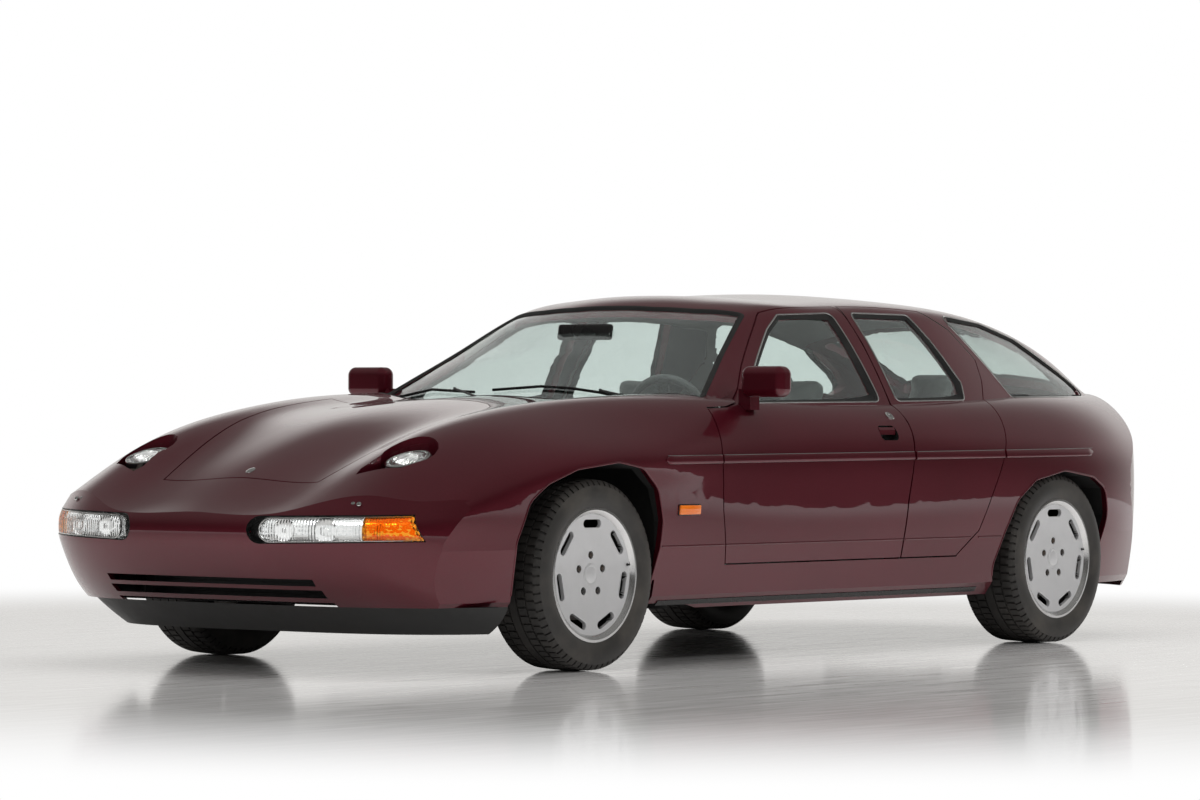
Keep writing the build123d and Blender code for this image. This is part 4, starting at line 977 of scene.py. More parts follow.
def studio_world(ambient):
    """A plain room: white to the camera and through glass, in reflections dim with a bright backdrop."""
    world = bpy.data.worlds.new("studio")
    world.use_nodes = True
    tree = world.node_tree
    fill = feed(tree, tree.nodes["Background"], Color=(1, 0.99, 0.97), Strength=ambient)
    white = add(tree, "Background", in_Color=(1, 1, 1), in_Strength=1.0)
    way = add(tree, "TexCoord").outputs["Generated"]
    height = add(tree, "SeparateXYZ", way).outputs["Z"]
    behind = add(tree, "VectorMath", way, VIEW_WAY, operation="DOT_PRODUCT").outputs["Value"]
    ceiling = ranged(tree, height, 0.02, 0.7, 0.0, 0.16, smooth=True)
    backdrop = ranged(tree, behind, 0.3, 0.9, 0.0, 0.9, smooth=True)
    top = ranged(tree, height, 0.26, 0.56, 1.0, 0.0, smooth=True)
    rise = ranged(tree, height, 0.06, 0.22, 0.85, 1.0, smooth=True)
    band = sums(tree, "MULTIPLY", sums(tree, "MULTIPLY", backdrop, rise), top)
    total = sums(tree, "ADD", ceiling, band, use_clamp=True)
    shade = mixed(tree, total, (0.035, 0.033, 0.030), (1, 0.985, 0.96))
    mirrored = add(tree, "Background", in_Color=shade, in_Strength=0.9)
    rays = add(tree, "LightPath").outputs
    last = fill.outputs["Background"]
    for ray, source in (("Is Glossy Ray", mirrored), ("Is Transmission Ray", white), ("Is Camera Ray", white)):
        last = add(tree, "MixShader", rays[ray], last, source.outputs["Background"]).outputs["Shader"]
    feed(tree, tree.nodes["World Output"], Surface=last)
    return world


def floor_material():
    """A pale glossy floor with faint streaks, fading to plain white at its edge."""
    tree, shader = new_material("pale_floor")
    place = object_place(tree)
    stretch = add(tree, "Mapping", in_Vector=place, in_Scale=(0.7, 9.0, 1.0), in_Rotation=(0, 0, math.radians(128)))
    streaks = noise(tree, stretch.outputs["Vector"], in_Scale=3.0, in_Detail=5.0, in_Roughness=0.6)
    tone = mixed(tree, ranged(tree, streaks, 0.3, 0.7), (0.80, 0.785, 0.775), (0.86, 0.85, 0.845))
    feed(tree, shader, Base_Color=tone, Roughness=ranged(tree, streaks, 0.3, 0.7, 0.05, 0.13))
    reach = add(tree, "VectorMath", place, operation="LENGTH").outputs["Value"]
    white = add(tree, "Emission", in_Color=(1, 1, 1), in_Strength=1.0)
    fade = ranged(tree, reach, FLOOR_FADE, FLOOR_REACH, smooth=True)
    show(tree, fade, shader.outputs["BSDF"], white.outputs["Emission"])


class SEDAN_OT_stage(Operator):
    """Floor, world, lamps and camera"""

    bl_idname = "sedan.stage"
    bl_label = "Stage"

    def execute(self, context):
        stage = context.scene.sedan_stage
        camera = bpy.data.objects.new("camera", bpy.data.cameras.new("camera"))
        camera.data.lens = stage.lens
        camera.data.clip_end = 200
        camera.matrix_world = camera_matrix()
        context.scene.collection.objects.link(camera)
        context.scene.camera = camera
        context.scene.view_settings.view_transform = "Standard"
        context.scene.world = studio_world(stage.ambient)
        floor_material()
        bpy.ops.mesh.primitive_circle_add(vertices=96, radius=FLOOR_REACH + 0.4, fill_type="NGON", location=(0, 0, 0))
        floor = named("floor")
        floor.data.materials.append(MATERIALS["pale_floor"])
        lamps = (
            ("overhead", (0.4, 0.6, 6.0), (0, 0, 0.6), (7.0, 0.5), stage.softbox),
            ("left_side", (-2.0, 7.5, 4.6), (0, 0, 0.7), (6.0, 0.7), stage.side_light),
            ("front", (8.5, 1.5, 3.6), (1.5, 0, 0.6), (3.0, 1.0), stage.side_light * 0.4),
        )
        for name, place, aim, size, power in lamps:
            lamp = bpy.data.objects.new(name, bpy.data.lights.new(name, "AREA"))
            lamp.data.shape = "RECTANGLE"
            lamp.data.size, lamp.data.size_y = size
            lamp.data.energy = power
            lamp.location = place
            lamp.rotation_euler = (Vector(aim) - Vector(place)).to_track_quat("-Z", "Y").to_euler()
            lamp.visible_glossy = False
            context.scene.collection.objects.link(lamp)
        return {"FINISHED"}


# ---------------- painted panels
PANELS = {
    "bonnet": "bonnet_panel", "front_wings": "wing_panels", "front_bumper": "front_bumper_panel",
    "roof": "roof_panel", "tailgate": "tailgate_panel", "rear_bumper": "rear_bumper_panel",
    "tail_panel": "tail_insert_panel", "body_side_left": "quarter_panel_left",
    "body_side_right": "quarter_panel_right", "front_door_left": "front_door_panel_left",
    "front_door_right": "front_door_panel_right", "rear_door_left": "rear_door_panel_left",
    "rear_door_right": "rear_door_panel_right",
}
HANDLE_X, HANDLE_Z = -0.285, 0.779  # middle of a front door's handle recess


def inner_finish(node, face):
    """Finish of a panel's inner face: 0 paint, 1 the lining behind it, 2 satin black in a front door's handle recess
    round its paddle, as painted shade.
    """
    place, normal = face.center, face.normal
    outward = normal.y * (1 if place.y > 0 else -1)
    along, above = abs(place.x - HANDLE_X), place.z - HANDLE_Z
    # painted shade: the front door's handle recess round the paddle is made satin black so that it reads dark
    if node.startswith("front_door") and along < 0.0546 and abs(above) < 0.0266 and abs(place.y) > 0.850:
        paddle = along < 0.0484 and -0.0064 < above < 0.0204 and abs(place.y) > 0.8595
        return 0 if paddle else 2
    if "door" in node:
        return 1 if outward < -0.35 and place.z > 0.30 else 0
    if node == "roof" or (node.startswith("body_side") and place.z > 0.86 and -1.7 < place.x < 0.3):
        return 1 if normal.z < -0.3 or outward < -0.5 else 0
    return 0


class SEDAN_OT_panels(Operator):
    """Doors, wings, bonnet, roof and tail in paint, smooth as the body surface is"""

    bl_idname = "sedan.panels"
    bl_label = "Painted panels"

    def execute(self, context):
        for node, name in PANELS.items():
            panel = cad_copy(node, name)
            outer = follow_skin(panel)
            lining = "door_leather" if "door" in node else "headlining"
            # the satin black here is painted shade, used only in the front doors' handle recesses
            finish_faces(
                panel, ("wine_paint", lining, "satin_black"),
                lambda face: 0 if face.index in outer else inner_finish(node, face),
            )
        for node in ("headlamp_wells", "mirror_left", "mirror_right"):
            dress(node, "wine_paint")
        return {"FINISHED"}


# ---------------- wheels
AXLES = {
    "front": {"x": 1.375, "y": 0.776, "radius": 0.3155, "width": 0.225},
    "rear": {"x": -1.375, "y": 0.773, "radius": 0.3135, "width": 0.245},
}
RIM = 0.212
# Rows across the tread, as shares of its half width; the narrow ones are the grooves round the tyre
TREAD_ROWS = (-1, -0.84, -0.66, -0.585, -0.42, -0.235, -0.165, 0, 0.165, 0.235, 0.42, 0.585, 0.66, 0.84, 1)
RING_GROOVES = (2, 5, 8, 11)
MIDDLE_ROWS = (6, 7)
PITCH_STEPS = 4
SHOULDER = 0.022      # from the tread's edge to the tyre's widest place
FACE_INSET = 0.010    # the wheel's face lies this far inside its tyre's side
# Slot, finishes and smoothing angle of tyre, nuts, cap, valve and slot lips
WHEEL_FINISHES = (
    ("tyre_rubber", ("tyre_rubber", "tyre_wall"), 40), ("disc_steel", "cast_steel", 25),
    ("wheel_silver", "wheel_silver", 50), ("tyre_rubber", "satin_black", 35), ("wheel_silver", "wheel_silver", 50),
)


def tyre_profile(radius, width):
    """Closed section of a tyre as (radius, across) points."""
    half = width / 2
    wall = [
        (RIM - 0.006, half - 0.022), (RIM + 0.004, half - 0.0125), (RIM + 0.010, half - 0.0105),
        (RIM + 0.018, half - 0.006), (RIM + 0.030, half - 0.0018), ((RIM + radius) / 2, half),
        (radius - 0.038, half - 0.0016), (radius - 0.022, half - 0.006), (radius - 0.012, half - 0.0125),
    ]
    crown = half - SHOULDER
    tread = [(radius - 0.004 * share**2, share * crown) for share in TREAD_ROWS]
    inside = [(radius - 0.026, half - 0.026), (RIM + 0.020, half - 0.034), (RIM - 0.006, half - 0.040)]
    return [(r, -y) for r, y in wall] + tread + wall[::-1] + inside[::-1] + [(r, -y) for r, y in inside]


def make_tyre(axle, pitches, depth):
    """A tyre with its tread: the carcass is spun, then the grooves are pressed in."""
    facts = AXLES[axle]
    profile = tyre_profile(facts["radius"], facts["width"])
    centre = Vector((facts["x"], facts["y"], facts["radius"]))
    steps = pitches * PITCH_STEPS
    obj = turned(f"{axle}_tyre", profile, centre, (0, 1, 0), steps=steps, closed=True)
    crown = facts["width"] / 2 - SHOULDER
    edges = [share * crown for share in TREAD_ROWS]

    def groove(face):
        place = face.center
        across = place.y - centre.y
        if math.hypot(place.x - centre.x, place.z - centre.z) < facts["radius"] - 0.019:
            return False
        row = next((k for k in range(len(edges) - 1) if edges[k] <= across < edges[k + 1]), None)
        if row in RING_GROOVES:
            return True
        if row in MIDDLE_ROWS:
            return False
        turn = math.atan2(place.z - centre.z, place.x - centre.x) / (2 * math.pi) * steps
        slant = abs(across) / crown * 3.1 if row is not None else 3.1
        return int(math.floor(turn + slant + 0.5)) % PITCH_STEPS == 0

    editing(obj)
    choose(obj, groove)
    bpy.ops.mesh.extrude_region_shrink_fatten(TRANSFORM_OT_shrink_fatten={"value": -depth})
    bpy.ops.mesh.select_all(action="SELECT")
    bpy.ops.mesh.normals_make_consistent(inside=False)
    done()
    return obj


def wheel_nuts(axle):
    """Five hexagonal nuts in the bottoms of their wells, a plain cap and a valve."""
    facts = AXLES[axle]
    face = facts["y"] + facts["width"] / 2 - FACE_INSET
    hub = Vector((facts["x"], face, facts["radius"]))
    made, nut = [], [(0, 0.0), (0.0088, 0.0), (0.0088, 0.008), (0.0064, 0.0098), (0, 0.0098)]
    for i in range(5):
        turn = math.radians(90 + 72 * i)
        place = hub + Vector((0.065 * math.cos(turn), -0.0255, 0.065 * math.sin(turn)))
        made.append(turned("nut", nut, place, (0, 1, 0), steps=6))
    nuts = joined(f"{axle}_wheel_nuts", made)
    cap = turned(
        f"{axle}_wheel_cap",
        [
            (0, -0.0135), (0.010, -0.0137), (0.024, -0.0147), (0.027, -0.0165), (0.0285, -0.0165), (0.030, -0.0155),
            (0.0325, -0.0155), (0.034, -0.0185), (0.034, -0.0205), (0, -0.0205),
        ],
        hub, (0, 1, 0), steps=64,
    )
    stem = hub + Vector((-0.186, -0.020, 0.030))
    tube = [(0, 0), (0.0045, 0), (0.0045, 0.010), (0.0032, 0.011), (0.0032, 0.019), (0, 0.020)]
    return nuts, cap, turned(f"{axle}_valve", tube, stem, (0.15, 1, 0), steps=16)


def slot_frames(axle):
    """A low raised lip round each of the seven slots."""
    facts = AXLES[axle]
    face = facts["y"] + facts["width"] / 2 - FACE_INSET
    made = []
    for i in range(7):
        turn = math.radians(90 + i * 360 / 7)
        out, along = Vector((math.cos(turn), 0, math.sin(turn))), Vector((-math.sin(turn), 0, math.cos(turn)))
        middle = Vector((facts["x"], face - 0.0142, facts["radius"])) + out * 0.168
        path = []
        for end, start in ((1, -90), (-1, 90)):
            for k in range(9):
                a = math.radians(start + 22.5 * k)
                path.append(middle + along * (end * 0.0325 + 0.0155 * math.cos(a)) + out * 0.0155 * math.sin(a))
        lip = [
            (-0.0018, -0.003), (-0.0018, 0.0006), (-0.0006, 0.0014), (0.0008, 0.0012), (0.0022, 0.0),
            (0.0022, -0.003),
        ]
        made.append(bead("lip", path, [Vector((0, 1, 0))] * len(path), lip))
    return joined(f"{axle}_slot_lips", made)


class SEDAN_OT_wheels(Operator):
    """Treaded tyres, slotted silver wheels with nuts and plain caps, and brake discs"""

    bl_idname = "sedan.wheels"
    bl_label = "Wheels"

    def execute(self, context):
        sizes = context.scene.sedan_wheels
        for axle, facts in AXLES.items():
            made = (make_tyre(axle, sizes.pitches, sizes.tread), *wheel_nuts(axle), slot_frames(axle))
            tyres, *_ = [
                pair(piece, *finish, f"wheel_{axle}", angle) for piece, (*finish, angle) in zip(made, WHEEL_FINISHES)
            ]
            for tyre, (side, sign) in zip(tyres, SIDES):
                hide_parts(f"tyre_{axle}_{side}")
                for face in tyre.data.polygons:
                    radial = math.hypot(face.center.x - facts["x"], face.center.z - facts["radius"])
                    face.material_index = 1 if radial < facts["radius"] - 0.026 else 0
                wheel = cad_copy(f"wheel_{axle}_{side}", f"{axle}_disc_wheel_{side}", angle=32)
                centre = Vector((facts["x"], facts["y"] * sign, facts["radius"]))
                outer = facts["width"] / 2 - 0.0225

                def part(face):
                    away = face.center - centre
                    radial = math.hypot(away.x, away.z)
                    across = away.y * sign
                    if radial > 0.199 and across > outer:
                        return 1
                    return 2 if across < outer - 0.012 else 0

                finish_faces(wheel, ("wheel_silver", "wheel_rim", "inner_arch"), part)
                dress(f"brake_disc_{axle}_{side}", "brake_steel")
        for side, _ in SIDES:
            dress(f"front_knuckle_{side}", "cast_steel")
        for node in ("rear_knuckles", "suspension"):
            dress(node, "cast_steel")
        dress("wheelhouses", "inner_arch")
        return {"FINISHED"}


# ---------------- windows
FRONT_GLASS = [(0.430, 0.884), (-0.387, 0.894), (-0.352, 1.203), (-0.060, 1.192), (0.040, 1.140)]
REAR_GLASS = [(-0.500, 0.896), (-0.960, 0.902), (-0.985, 0.960), (-0.905, 1.120), (-0.850, 1.205), (-0.480, 1.206)]
QUARTER_GLASS = [(-1.338, 0.914), (-2.030, 0.918), (-1.900, 1.010), (-1.650, 1.130), (-1.400, 1.186), (-1.100, 1.210)]
SCREEN = [
    (0.846, 0), (0.835, 0.200), (0.795, 0.400), (0.720, 0.600), (0.622, 0.738), (0.560, 0.712), (0.330, 0.612),
    (0.085, 0.520), (0.140, 0.350), (0.172, 0.180), (0.180, 0),
]
TAIL_GLASS = [
    (-1.690, 0), (-1.690, 0.300), (-1.695, 0.425), (-1.980, 0.405), (-2.190, 0.372), (-2.215, 0.200), (-2.222, 0),
]
GLASS_CORNER = 0.024


def rounded_outline(corners, radius, step=0.02):
    """A closed outline with its corners rounded, as evenly spaced points."""
    points = []
    count = len(corners)
    for i, corner in enumerate(corners):
        here = Vector(corner)
        back, on = Vector(corners[i - 1]) - here, Vector(corners[(i + 1) % count]) - here
        half = back.angle(on) / 2
        reach = min(radius / math.tan(half), 0.45 * back.length, 0.45 * on.length)
        first, last = here + back.normalized() * reach, here + on.normalized() * reach
        for k in range(7):
            t = k / 6
            points.append(first.lerp(here, t).lerp(here.lerp(last, t), t))
        nxt = Vector(corners[(i + 1) % count])
        after = Vector(corners[(i + 2) % count])
        next_half = (here - nxt).angle(after - nxt) / 2
        next_reach = min(radius / math.tan(next_half), 0.45 * (here - nxt).length, 0.45 * (after - nxt).length)
        end = nxt + (here - nxt).normalized() * next_reach
        pieces = max(int((end - last).length / step), 1)
        points += [last.lerp(end, k / pieces) for k in range(1, pieces)]
    return points


def grown(corners, distance):
    """Moves a closed outline outwards, corner by corner."""
    area = sum(a[0] * b[1] - b[0] * a[1] for a, b in zip(corners, corners[1:] + corners[:1]))
    turn = 1 if area > 0 else -1
    out = []
    for i, p in enumerate(corners):
        a, b = corners[i - 1], corners[(i + 1) % len(corners)]
        n1, n2 = (Vector((q[1] - o[1], o[0] - q[0])).normalized() * turn for o, q in ((a, p), (p, b)))
        both_ways = n1 + n2
        out.append(tuple(Vector(p) + both_ways * (distance * 2 / max(both_ways.length_squared, 0.6))))
    return out


def lies_on(points, cast):
    """Places and normals of (u, v) points cast onto the skin."""
    found = [cast(*p) for p in points]
    return [p for p, _ in found], [n for _, n in found]


def outward_way(path, ups):
    """1 where a closed path's right-hand side is its outside, else -1."""
    middle = sum(path, Vector()) / len(path)
    count = len(path)
    total = sum((path[(i + 1) % count] - path[i - 1]).cross(ups[i]).dot(path[i] - middle) for i in range(count))
    return 1 if total > 0 else -1


def side_window(name, corners, body, bead_width, rear_band):
    """Black seal round a side window's glass and the bright trim round the seal."""
    path, ups = lies_on(rounded_outline(corners, GLASS_CORNER), on_side)
    way = outward_way(path, ups)
    low = min(p.x for p in path)
    middle = sum(p.x for p in path) / len(path)

    def seal(i):
        """Rubber from the opening's edge down to the glass, broad along the rear edge."""
        back = max(0.0, (middle - path[i].x) / (middle - low)) ** 3 if rear_band else 0.0
        inner = 0.011 + rear_band * back
        shape = [
            (0.0015, -0.007), (0.0015, 0.0004), (-0.002, 0.0008), (-0.006, -0.0030), (-inner, -0.0058),
            (-inner - 0.001, -0.0072),
        ]
        return [(way * a, u) for a, u in shape]

    rubber = bead(f"{name}_seal", path, ups, seal)
    outer, outer_ups = lies_on(rounded_outline(grown(corners, 0.001 + bead_width / 2), GLASS_CORNER + 0.004), on_side)
    w = bead_width / 2
    shape = [(-w, -0.002), (-w, 0.0008), (-0.6 * w, 0.0022), (0, 0.0028), (0.6 * w, 0.0022), (w, 0.0008), (w, -0.002)]
    bright = bead(f"{name}_trim", outer, outer_ups, shape)
    pair(rubber, "trim_black", "rubber_seal", body, 60)
    pair(bright, "lamp_body", "bright_trim", body, 60)


def full_plan(half):
    """A plan outline given for the left half, closed over the right half."""
    return half + [(x, -y) for x, y in reversed(half) if y > 0]


def on_top_either(x, y):
    """Place and normal on the upper surface on either half."""
    place, normal = on_top(x, abs(y))
    side = -1 if y < 0 else 1
    return Vector((place.x, place.y * side, place.z)), Vector((normal.x, normal.y * side, normal.z))


def plan_window(name, corners, body, corner, outer, inner):
    """Seal round the windscreen or the tail glass, from its frame down to the glass."""
    path, ups = lies_on(rounded_outline(full_plan(corners), corner), on_top_either)
    way = outward_way(path, ups)
    shape = [
        (outer, -0.006), (outer, 0.0008), (outer - 0.002, 0.0016), (-0.004, 0.0010), (-inner, -0.0055),
        (-inner - 0.001, -0.0075),
    ]
    finished(bead(name, path, ups, [(way * a, u) for a, u in shape]), body, "trim_black", "rubber_seal", 60)


class SEDAN_OT_windows(Operator):
    """Glass with its seals and bright trim"""

    bl_idname = "sedan.windows"
    bl_label = "Windows"

    def execute(self, context):
        bead_width = context.scene.sedan_trim.bead
        dress("windscreen", "window_glass")
        for side, _ in SIDES:
            for door in ("front", "rear"):
                dress(f"{door}_door_glass_{side}", "window_glass")
        for node in ("quarter_windows", "tailgate_glass"):
            dress(node, "rear_window_glass")
        side_window("front_window", FRONT_GLASS, "front_door", bead_width, 0.022)
        side_window("rear_window", REAR_GLASS, "rear_door", bead_width, 0.020)
        side_window("quarter_window", QUARTER_GLASS, "body", bead_width, 0.0)
        plan_window("windscreen_seal", SCREEN, "body", 0.020, 0.004, 0.016)
        plan_window("tail_glass_seal", TAIL_GLASS, "tailgate", 0.030, 0.003, 0.022)
        return {"FINISHED"}


# ---------------- lamps
LAMP_LOW, LAMP_TOP = 0.427, 0.511
LAMP_INNER, LAMP_OUTER = 0.302, 0.788
POPUP_CENTRE = Vector((1.955, 0.575, 0.668))
POPUP_LEAN = math.radians(20)
POPUP_AXIS = Vector((math.sin(POPUP_LEAN), 0, math.cos(POPUP_LEAN)))
POPUP_RADIUS = 0.078
POPUP_RAISE = 0.027  # the lens stands higher in its pocket than its CAD stand-in
POPUP_TOP = POPUP_CENTRE + POPUP_AXIS * POPUP_RAISE


def lamp_outline(inner, outer, margin, steps=16):
    """Front lamp unit across the nose, as (y, z): round at its inner end, slanted at its outer one."""
    middle, radius = (LAMP_LOW + LAMP_TOP) / 2, (LAMP_TOP - LAMP_LOW) / 2 + margin
    turns = [math.pi * i / steps for i in range(steps + 1)]
    points = [(inner + radius * (1 - math.sin(a)), middle + radius * math.cos(a)) for a in turns]
    corners = [
        (outer + 0.014 + margin, LAMP_LOW + 0.011 - margin), (outer - 0.014 + margin, LAMP_TOP + 0.008 + margin),
    ]
    first, last = points[-1], points[0]
    for a, b in ((first, corners[0]), (corners[0], corners[1]), (corners[1], last)):
        count = max(int(math.dist(a, b) / 0.02), 1)
        points += [(a[0] + (b[0] - a[0]) * k / count, a[1] + (b[1] - a[1]) * k / count) for k in range(1, count + 1)]
    return points[:-1]


def nose_bead(name, outline, section):
    """A closed bead along an outline on the nose."""
    path, ups = lies_on(outline, on_nose)
    way = outward_way(path, ups)
    return bead(name, path, ups, [(way * a, u) for a, u in section])


def lamp_insides():
    """Two bright bowls with their bulbs, behind a front lamp's glass."""
    made = []
    for y, radius in ((0.395, 0.034), (0.545, 0.036)):
        place, normal = on_nose(y, 0.469)
        back = place - normal * 0.0235
        bowl = [(radius * 0.97, 0.0010), (radius * 0.6, 0.0006), (0.008, 0.0008), (0.008, 0.0048), (0, 0.0053)]
        ring = [(radius + 0.002, -0.001), (radius + 0.002, 0.002), (radius, 0.002), (radius, -0.001)]
        lip = turned("bowl", ring, back, normal, closed=True)
        made += [turned("bowl", bowl, back, normal), lip]
    pair(joined("front_lamp_bowls", made), "lamp_body", "reflector")


def popup_pieces():
    """Bright rim, reflector and bulb shield of the pop-up lamps."""
    rim = [
        (0.0700, 0.0040), (0.0718, 0.0048), (0.0750, 0.0044), (0.0776, 0.0022), (0.0779, -0.006), (0.0770, -0.006),
        (0.0745, 0.0006), (0.0700, 0.0026),
    ]
    bowl = [
        (0.0735, -0.002), (0.072, -0.010), (0.064, -0.022), (0.050, -0.0345), (0.034, -0.043), (0.016, -0.048),
        (0.0, -0.049),
    ]
    shield = [
        (0, -0.012), (0.010, -0.0125), (0.0125, -0.016), (0.0125, -0.040), (0.0105, -0.040), (0.0105, -0.018),
        (0, -0.016),
    ]
    made = (
        (turned("popup_lamp_rim", rim, POPUP_TOP, POPUP_AXIS, 72, closed=True), "bright_trim", 60),
        (turned("popup_reflector", bowl, POPUP_TOP, POPUP_AXIS, 72), "reflector", 60),
        (turned("popup_bulb_shield", shield, POPUP_TOP, POPUP_AXIS, 32), "bright_trim", 50),
    )
    for piece, material, angle in made:
        pair(piece, "lamp_body", material, "headlamp", angle)


def popup_lamp(side, sign):
    """A pop-up lamp's pot and lens, its lens raised from where its stand-in has it."""
    lamp = cad_copy(f"headlamp_{side}", f"popup_lamp_{side}", angle=40)
    centre = Vector((POPUP_CENTRE.x, POPUP_CENTRE.y * sign, POPUP_CENTRE.z))

    def from_axis(point):
        """How far a point lies along the lamp's axis and across from it."""
        along = (point - centre).dot(POPUP_AXIS)
        return along, (point - centre - POPUP_AXIS * along).length

    for vertex in lamp.data.vertices:
        along, across = from_axis(vertex.co)
        if along > -0.003 and across < POPUP_RADIUS + 0.001:
            vertex.co += POPUP_AXIS * POPUP_RAISE

    def part(face):
        along, across = from_axis(face.center)
        if along > POPUP_RAISE + 0.0009 and across < 0.0755:
            return 0
        return 1 if along > -0.0635 and across < POPUP_RADIUS + 0.001 else 2

    finish_faces(lamp, ("popup_lamp_glass", "satin_black", "cast_steel"), part)


class SEDAN_OT_lamps(Operator):
    """Front lamp units, pop-up lamps, repeaters and washer nozzles"""

    bl_idname = "sedan.lamps"
    bl_label = "Lamps"

    def execute(self, context):
        dress("front_lamps", "lamp_glass")
        dress("indicators", "amber_glass")
        housing = cad_copy("lamp_housings", "lamp_unit_backs")
        inner = LAMP_INNER - 0.001
        finish_faces(
            housing, ("reflector", "satin_black"), lambda face: 0 if abs(face.center.y) > inner else 1,
        )
        edge = nose_bead(
            "lamp_slot_edge", lamp_outline(LAMP_INNER - 0.046, LAMP_OUTER, 0.0018),
            [(0.0012, -0.022), (0.0012, -0.0010), (0.0004, 0.0004), (-0.0012, -0.0004), (-0.0014, -0.022)],
        )
        pair(edge, "trim_black", "satin_black", angle=60)
        rim = nose_bead(
            "lamp_rim", lamp_outline(LAMP_INNER + 0.001, LAMP_OUTER - 0.002, -0.0015),
            [
                (0.0010, -0.009), (0.0010, -0.0026), (-0.0004, -0.0018), (-0.0022, -0.0026), (-0.0026, -0.0050),
                (-0.0026, -0.009),
            ],
        )
        pair(rim, "lamp_body", "bright_trim", angle=60)
        lamp_insides()
        popup_pieces()
        for side, sign in SIDES:
            popup_lamp(side, sign)
        place, normal = on_side(0.904, 0.523)
        turn = Vector((0, 1, 0)).rotation_difference(normal).to_euler()
        lens = block("repeater_lens", place + normal * 0.0035, (0.116, 0.010, 0.032), 0.004, turn)
        pair(lens, "lens_amber", "lamp_amber")
        base = block("repeater_base", place + normal * 0.0002, (0.122, 0.005, 0.038), 0.0018, turn)
        pair(base, "trim_black", "satin_black")
        place, normal = on_nose(0.610, 0.554)
        shape = [
            (0.0085, -0.001), (0.0085, 0.0012), (0.0068, 0.0035), (0.0040, 0.0052), (0.0018, 0.0058),
            (0.0018, 0.0040), (0, 0.0040),
        ]
        nozzles = [turned("nozzle", shape, place + Vector((0, across, 0)), normal, 28) for across in (-0.012, 0.012)]
        pair(joined("washer_nozzles", nozzles), "lamp_body", "bright_trim", angle=50)
        return {"FINISHED"}


# ---------------- outside trim
# Name, front end, rear end and body of each length of the strips along the flanks
STRIP_SPANS = (
    ("wing", 1.049, 0.728, "body"), ("front_door", 0.720, -0.408, "front_door"),
    ("rear_door", -0.421, -0.985, "rear_door"), ("quarter", -0.996, -1.606, "body"),
)
CREASE_SPANS = (
    ("wing", 1.034, 0.688, "body"), ("front_door", 0.678, -0.368, "front_door"),
    ("rear_door", -0.384, -0.795, "rear_door"), ("quarter", -0.845, -0.995, "body"),
)
CREASE_HEIGHT, SILL_HEIGHT = 0.402, 0.212
FRONT_ARCH = [
    (1.787, 0.422), (1.735, 0.559), (1.652, 0.617), (1.515, 0.663), (1.306, 0.685), (1.174, 0.664), (1.080, 0.596),
    (1.043, 0.488), (1.042, 0.398), (1.078, 0.150), (1.740, 0.150),
]
REAR_ARCH = [
    (-0.960, 0.289), (-1.021, 0.427), (-1.078, 0.533), (-1.194, 0.607), (-1.391, 0.640), (-1.593, 0.615),
    (-1.694, 0.570), (-1.735, 0.471), (-1.700, 0.317), (-1.690, 0.150), (-1.000, 0.150),
]


def strip_height(x):
    """Height of the rubbing strip's middle."""
    return 0.690 + (1.049 - x) * 0.0064


def strip_path(first, last, drop=0.0):
    """Points along the strip with the skin's normals there, drop above its middle."""
    count = max(int(abs(first - last) / 0.02), 2)
    xs = [first + (last - first) * k / count for k in range(count + 1)]
    return xs, *lies_on([(x, strip_height(x) + drop) for x in xs], on_side)


def rub_strip(name, first, last, height, proud):
    """One length of the rubbing strip, with its free end rounded off."""
    xs, path, ups = strip_path(first, last)

    def section(i):
        half = height / 2
        ends = [abs(xs[i] - x) for x in (first, last) if x in (STRIP_SPANS[0][1], STRIP_SPANS[-1][2])]
        rise = proud
        if ends and ends[0] < half:
            half = max(height / 2 * math.sqrt(1 - (1 - ends[0] / half) ** 2), 0.003)
            rise = proud * 0.7
        shape = [(-1, -0.35), (-1, 0.35), (-0.9, 0.75), (-0.72, 1), (0.72, 1), (0.9, 0.75), (1, 0.35), (1, -0.35)]
        return [(a * half, u * rise) for a, u in shape]

    return bead(name, path, ups, section, closed=False)


def arch_lip(name, arch):
    """Rolled lip along a wheel arch's edge."""
    points = [p for p in rounded_outline(arch, 0.09, 0.015) if p.y > 0.245]
    start = max(range(len(points)), key=lambda k: (points[k] - points[k - 1]).length)
    points = points[start:] + points[:start]
    path, ups = lies_on([tuple(p) for p in points], on_side)
    section = [(0.0036 * math.cos(a), 0.0032 * math.sin(a) - 0.0008) for a in (math.pi * k / 5 for k in range(10))]
    return bead(name, path, ups, section, closed=False)


def crease(name, first, last):
    """The fine raised line along the flanks, level with the bumpers' seams."""
    count = max(int(abs(first - last) / 0.03), 2)
    path, ups = lies_on([(first + (last - first) * k / count, CREASE_HEIGHT) for k in range(count + 1)], on_side)
    shape = [
        (-0.0045, -0.0012), (-0.0032, 0.0006), (-0.0010, 0.0021), (0.0012, 0.0021), (0.0034, 0.0006),
        (0.0045, -0.0012),
    ]
    return bead(name, path, ups, shape, closed=False)


def sill_strip():
    """Black strip along the foot of the sill, between the wheels."""
    path, ups = lies_on([(0.99 - k * 0.04, SILL_HEIGHT) for k in range(48)], on_side)
    shape = [(-0.011, -0.002), (-0.011, 0.0016), (-0.008, 0.0030), (0.008, 0.0030), (0.011, 0.0016), (0.011, -0.002)]
    return bead("sill_strip", path, ups, shape, closed=False)


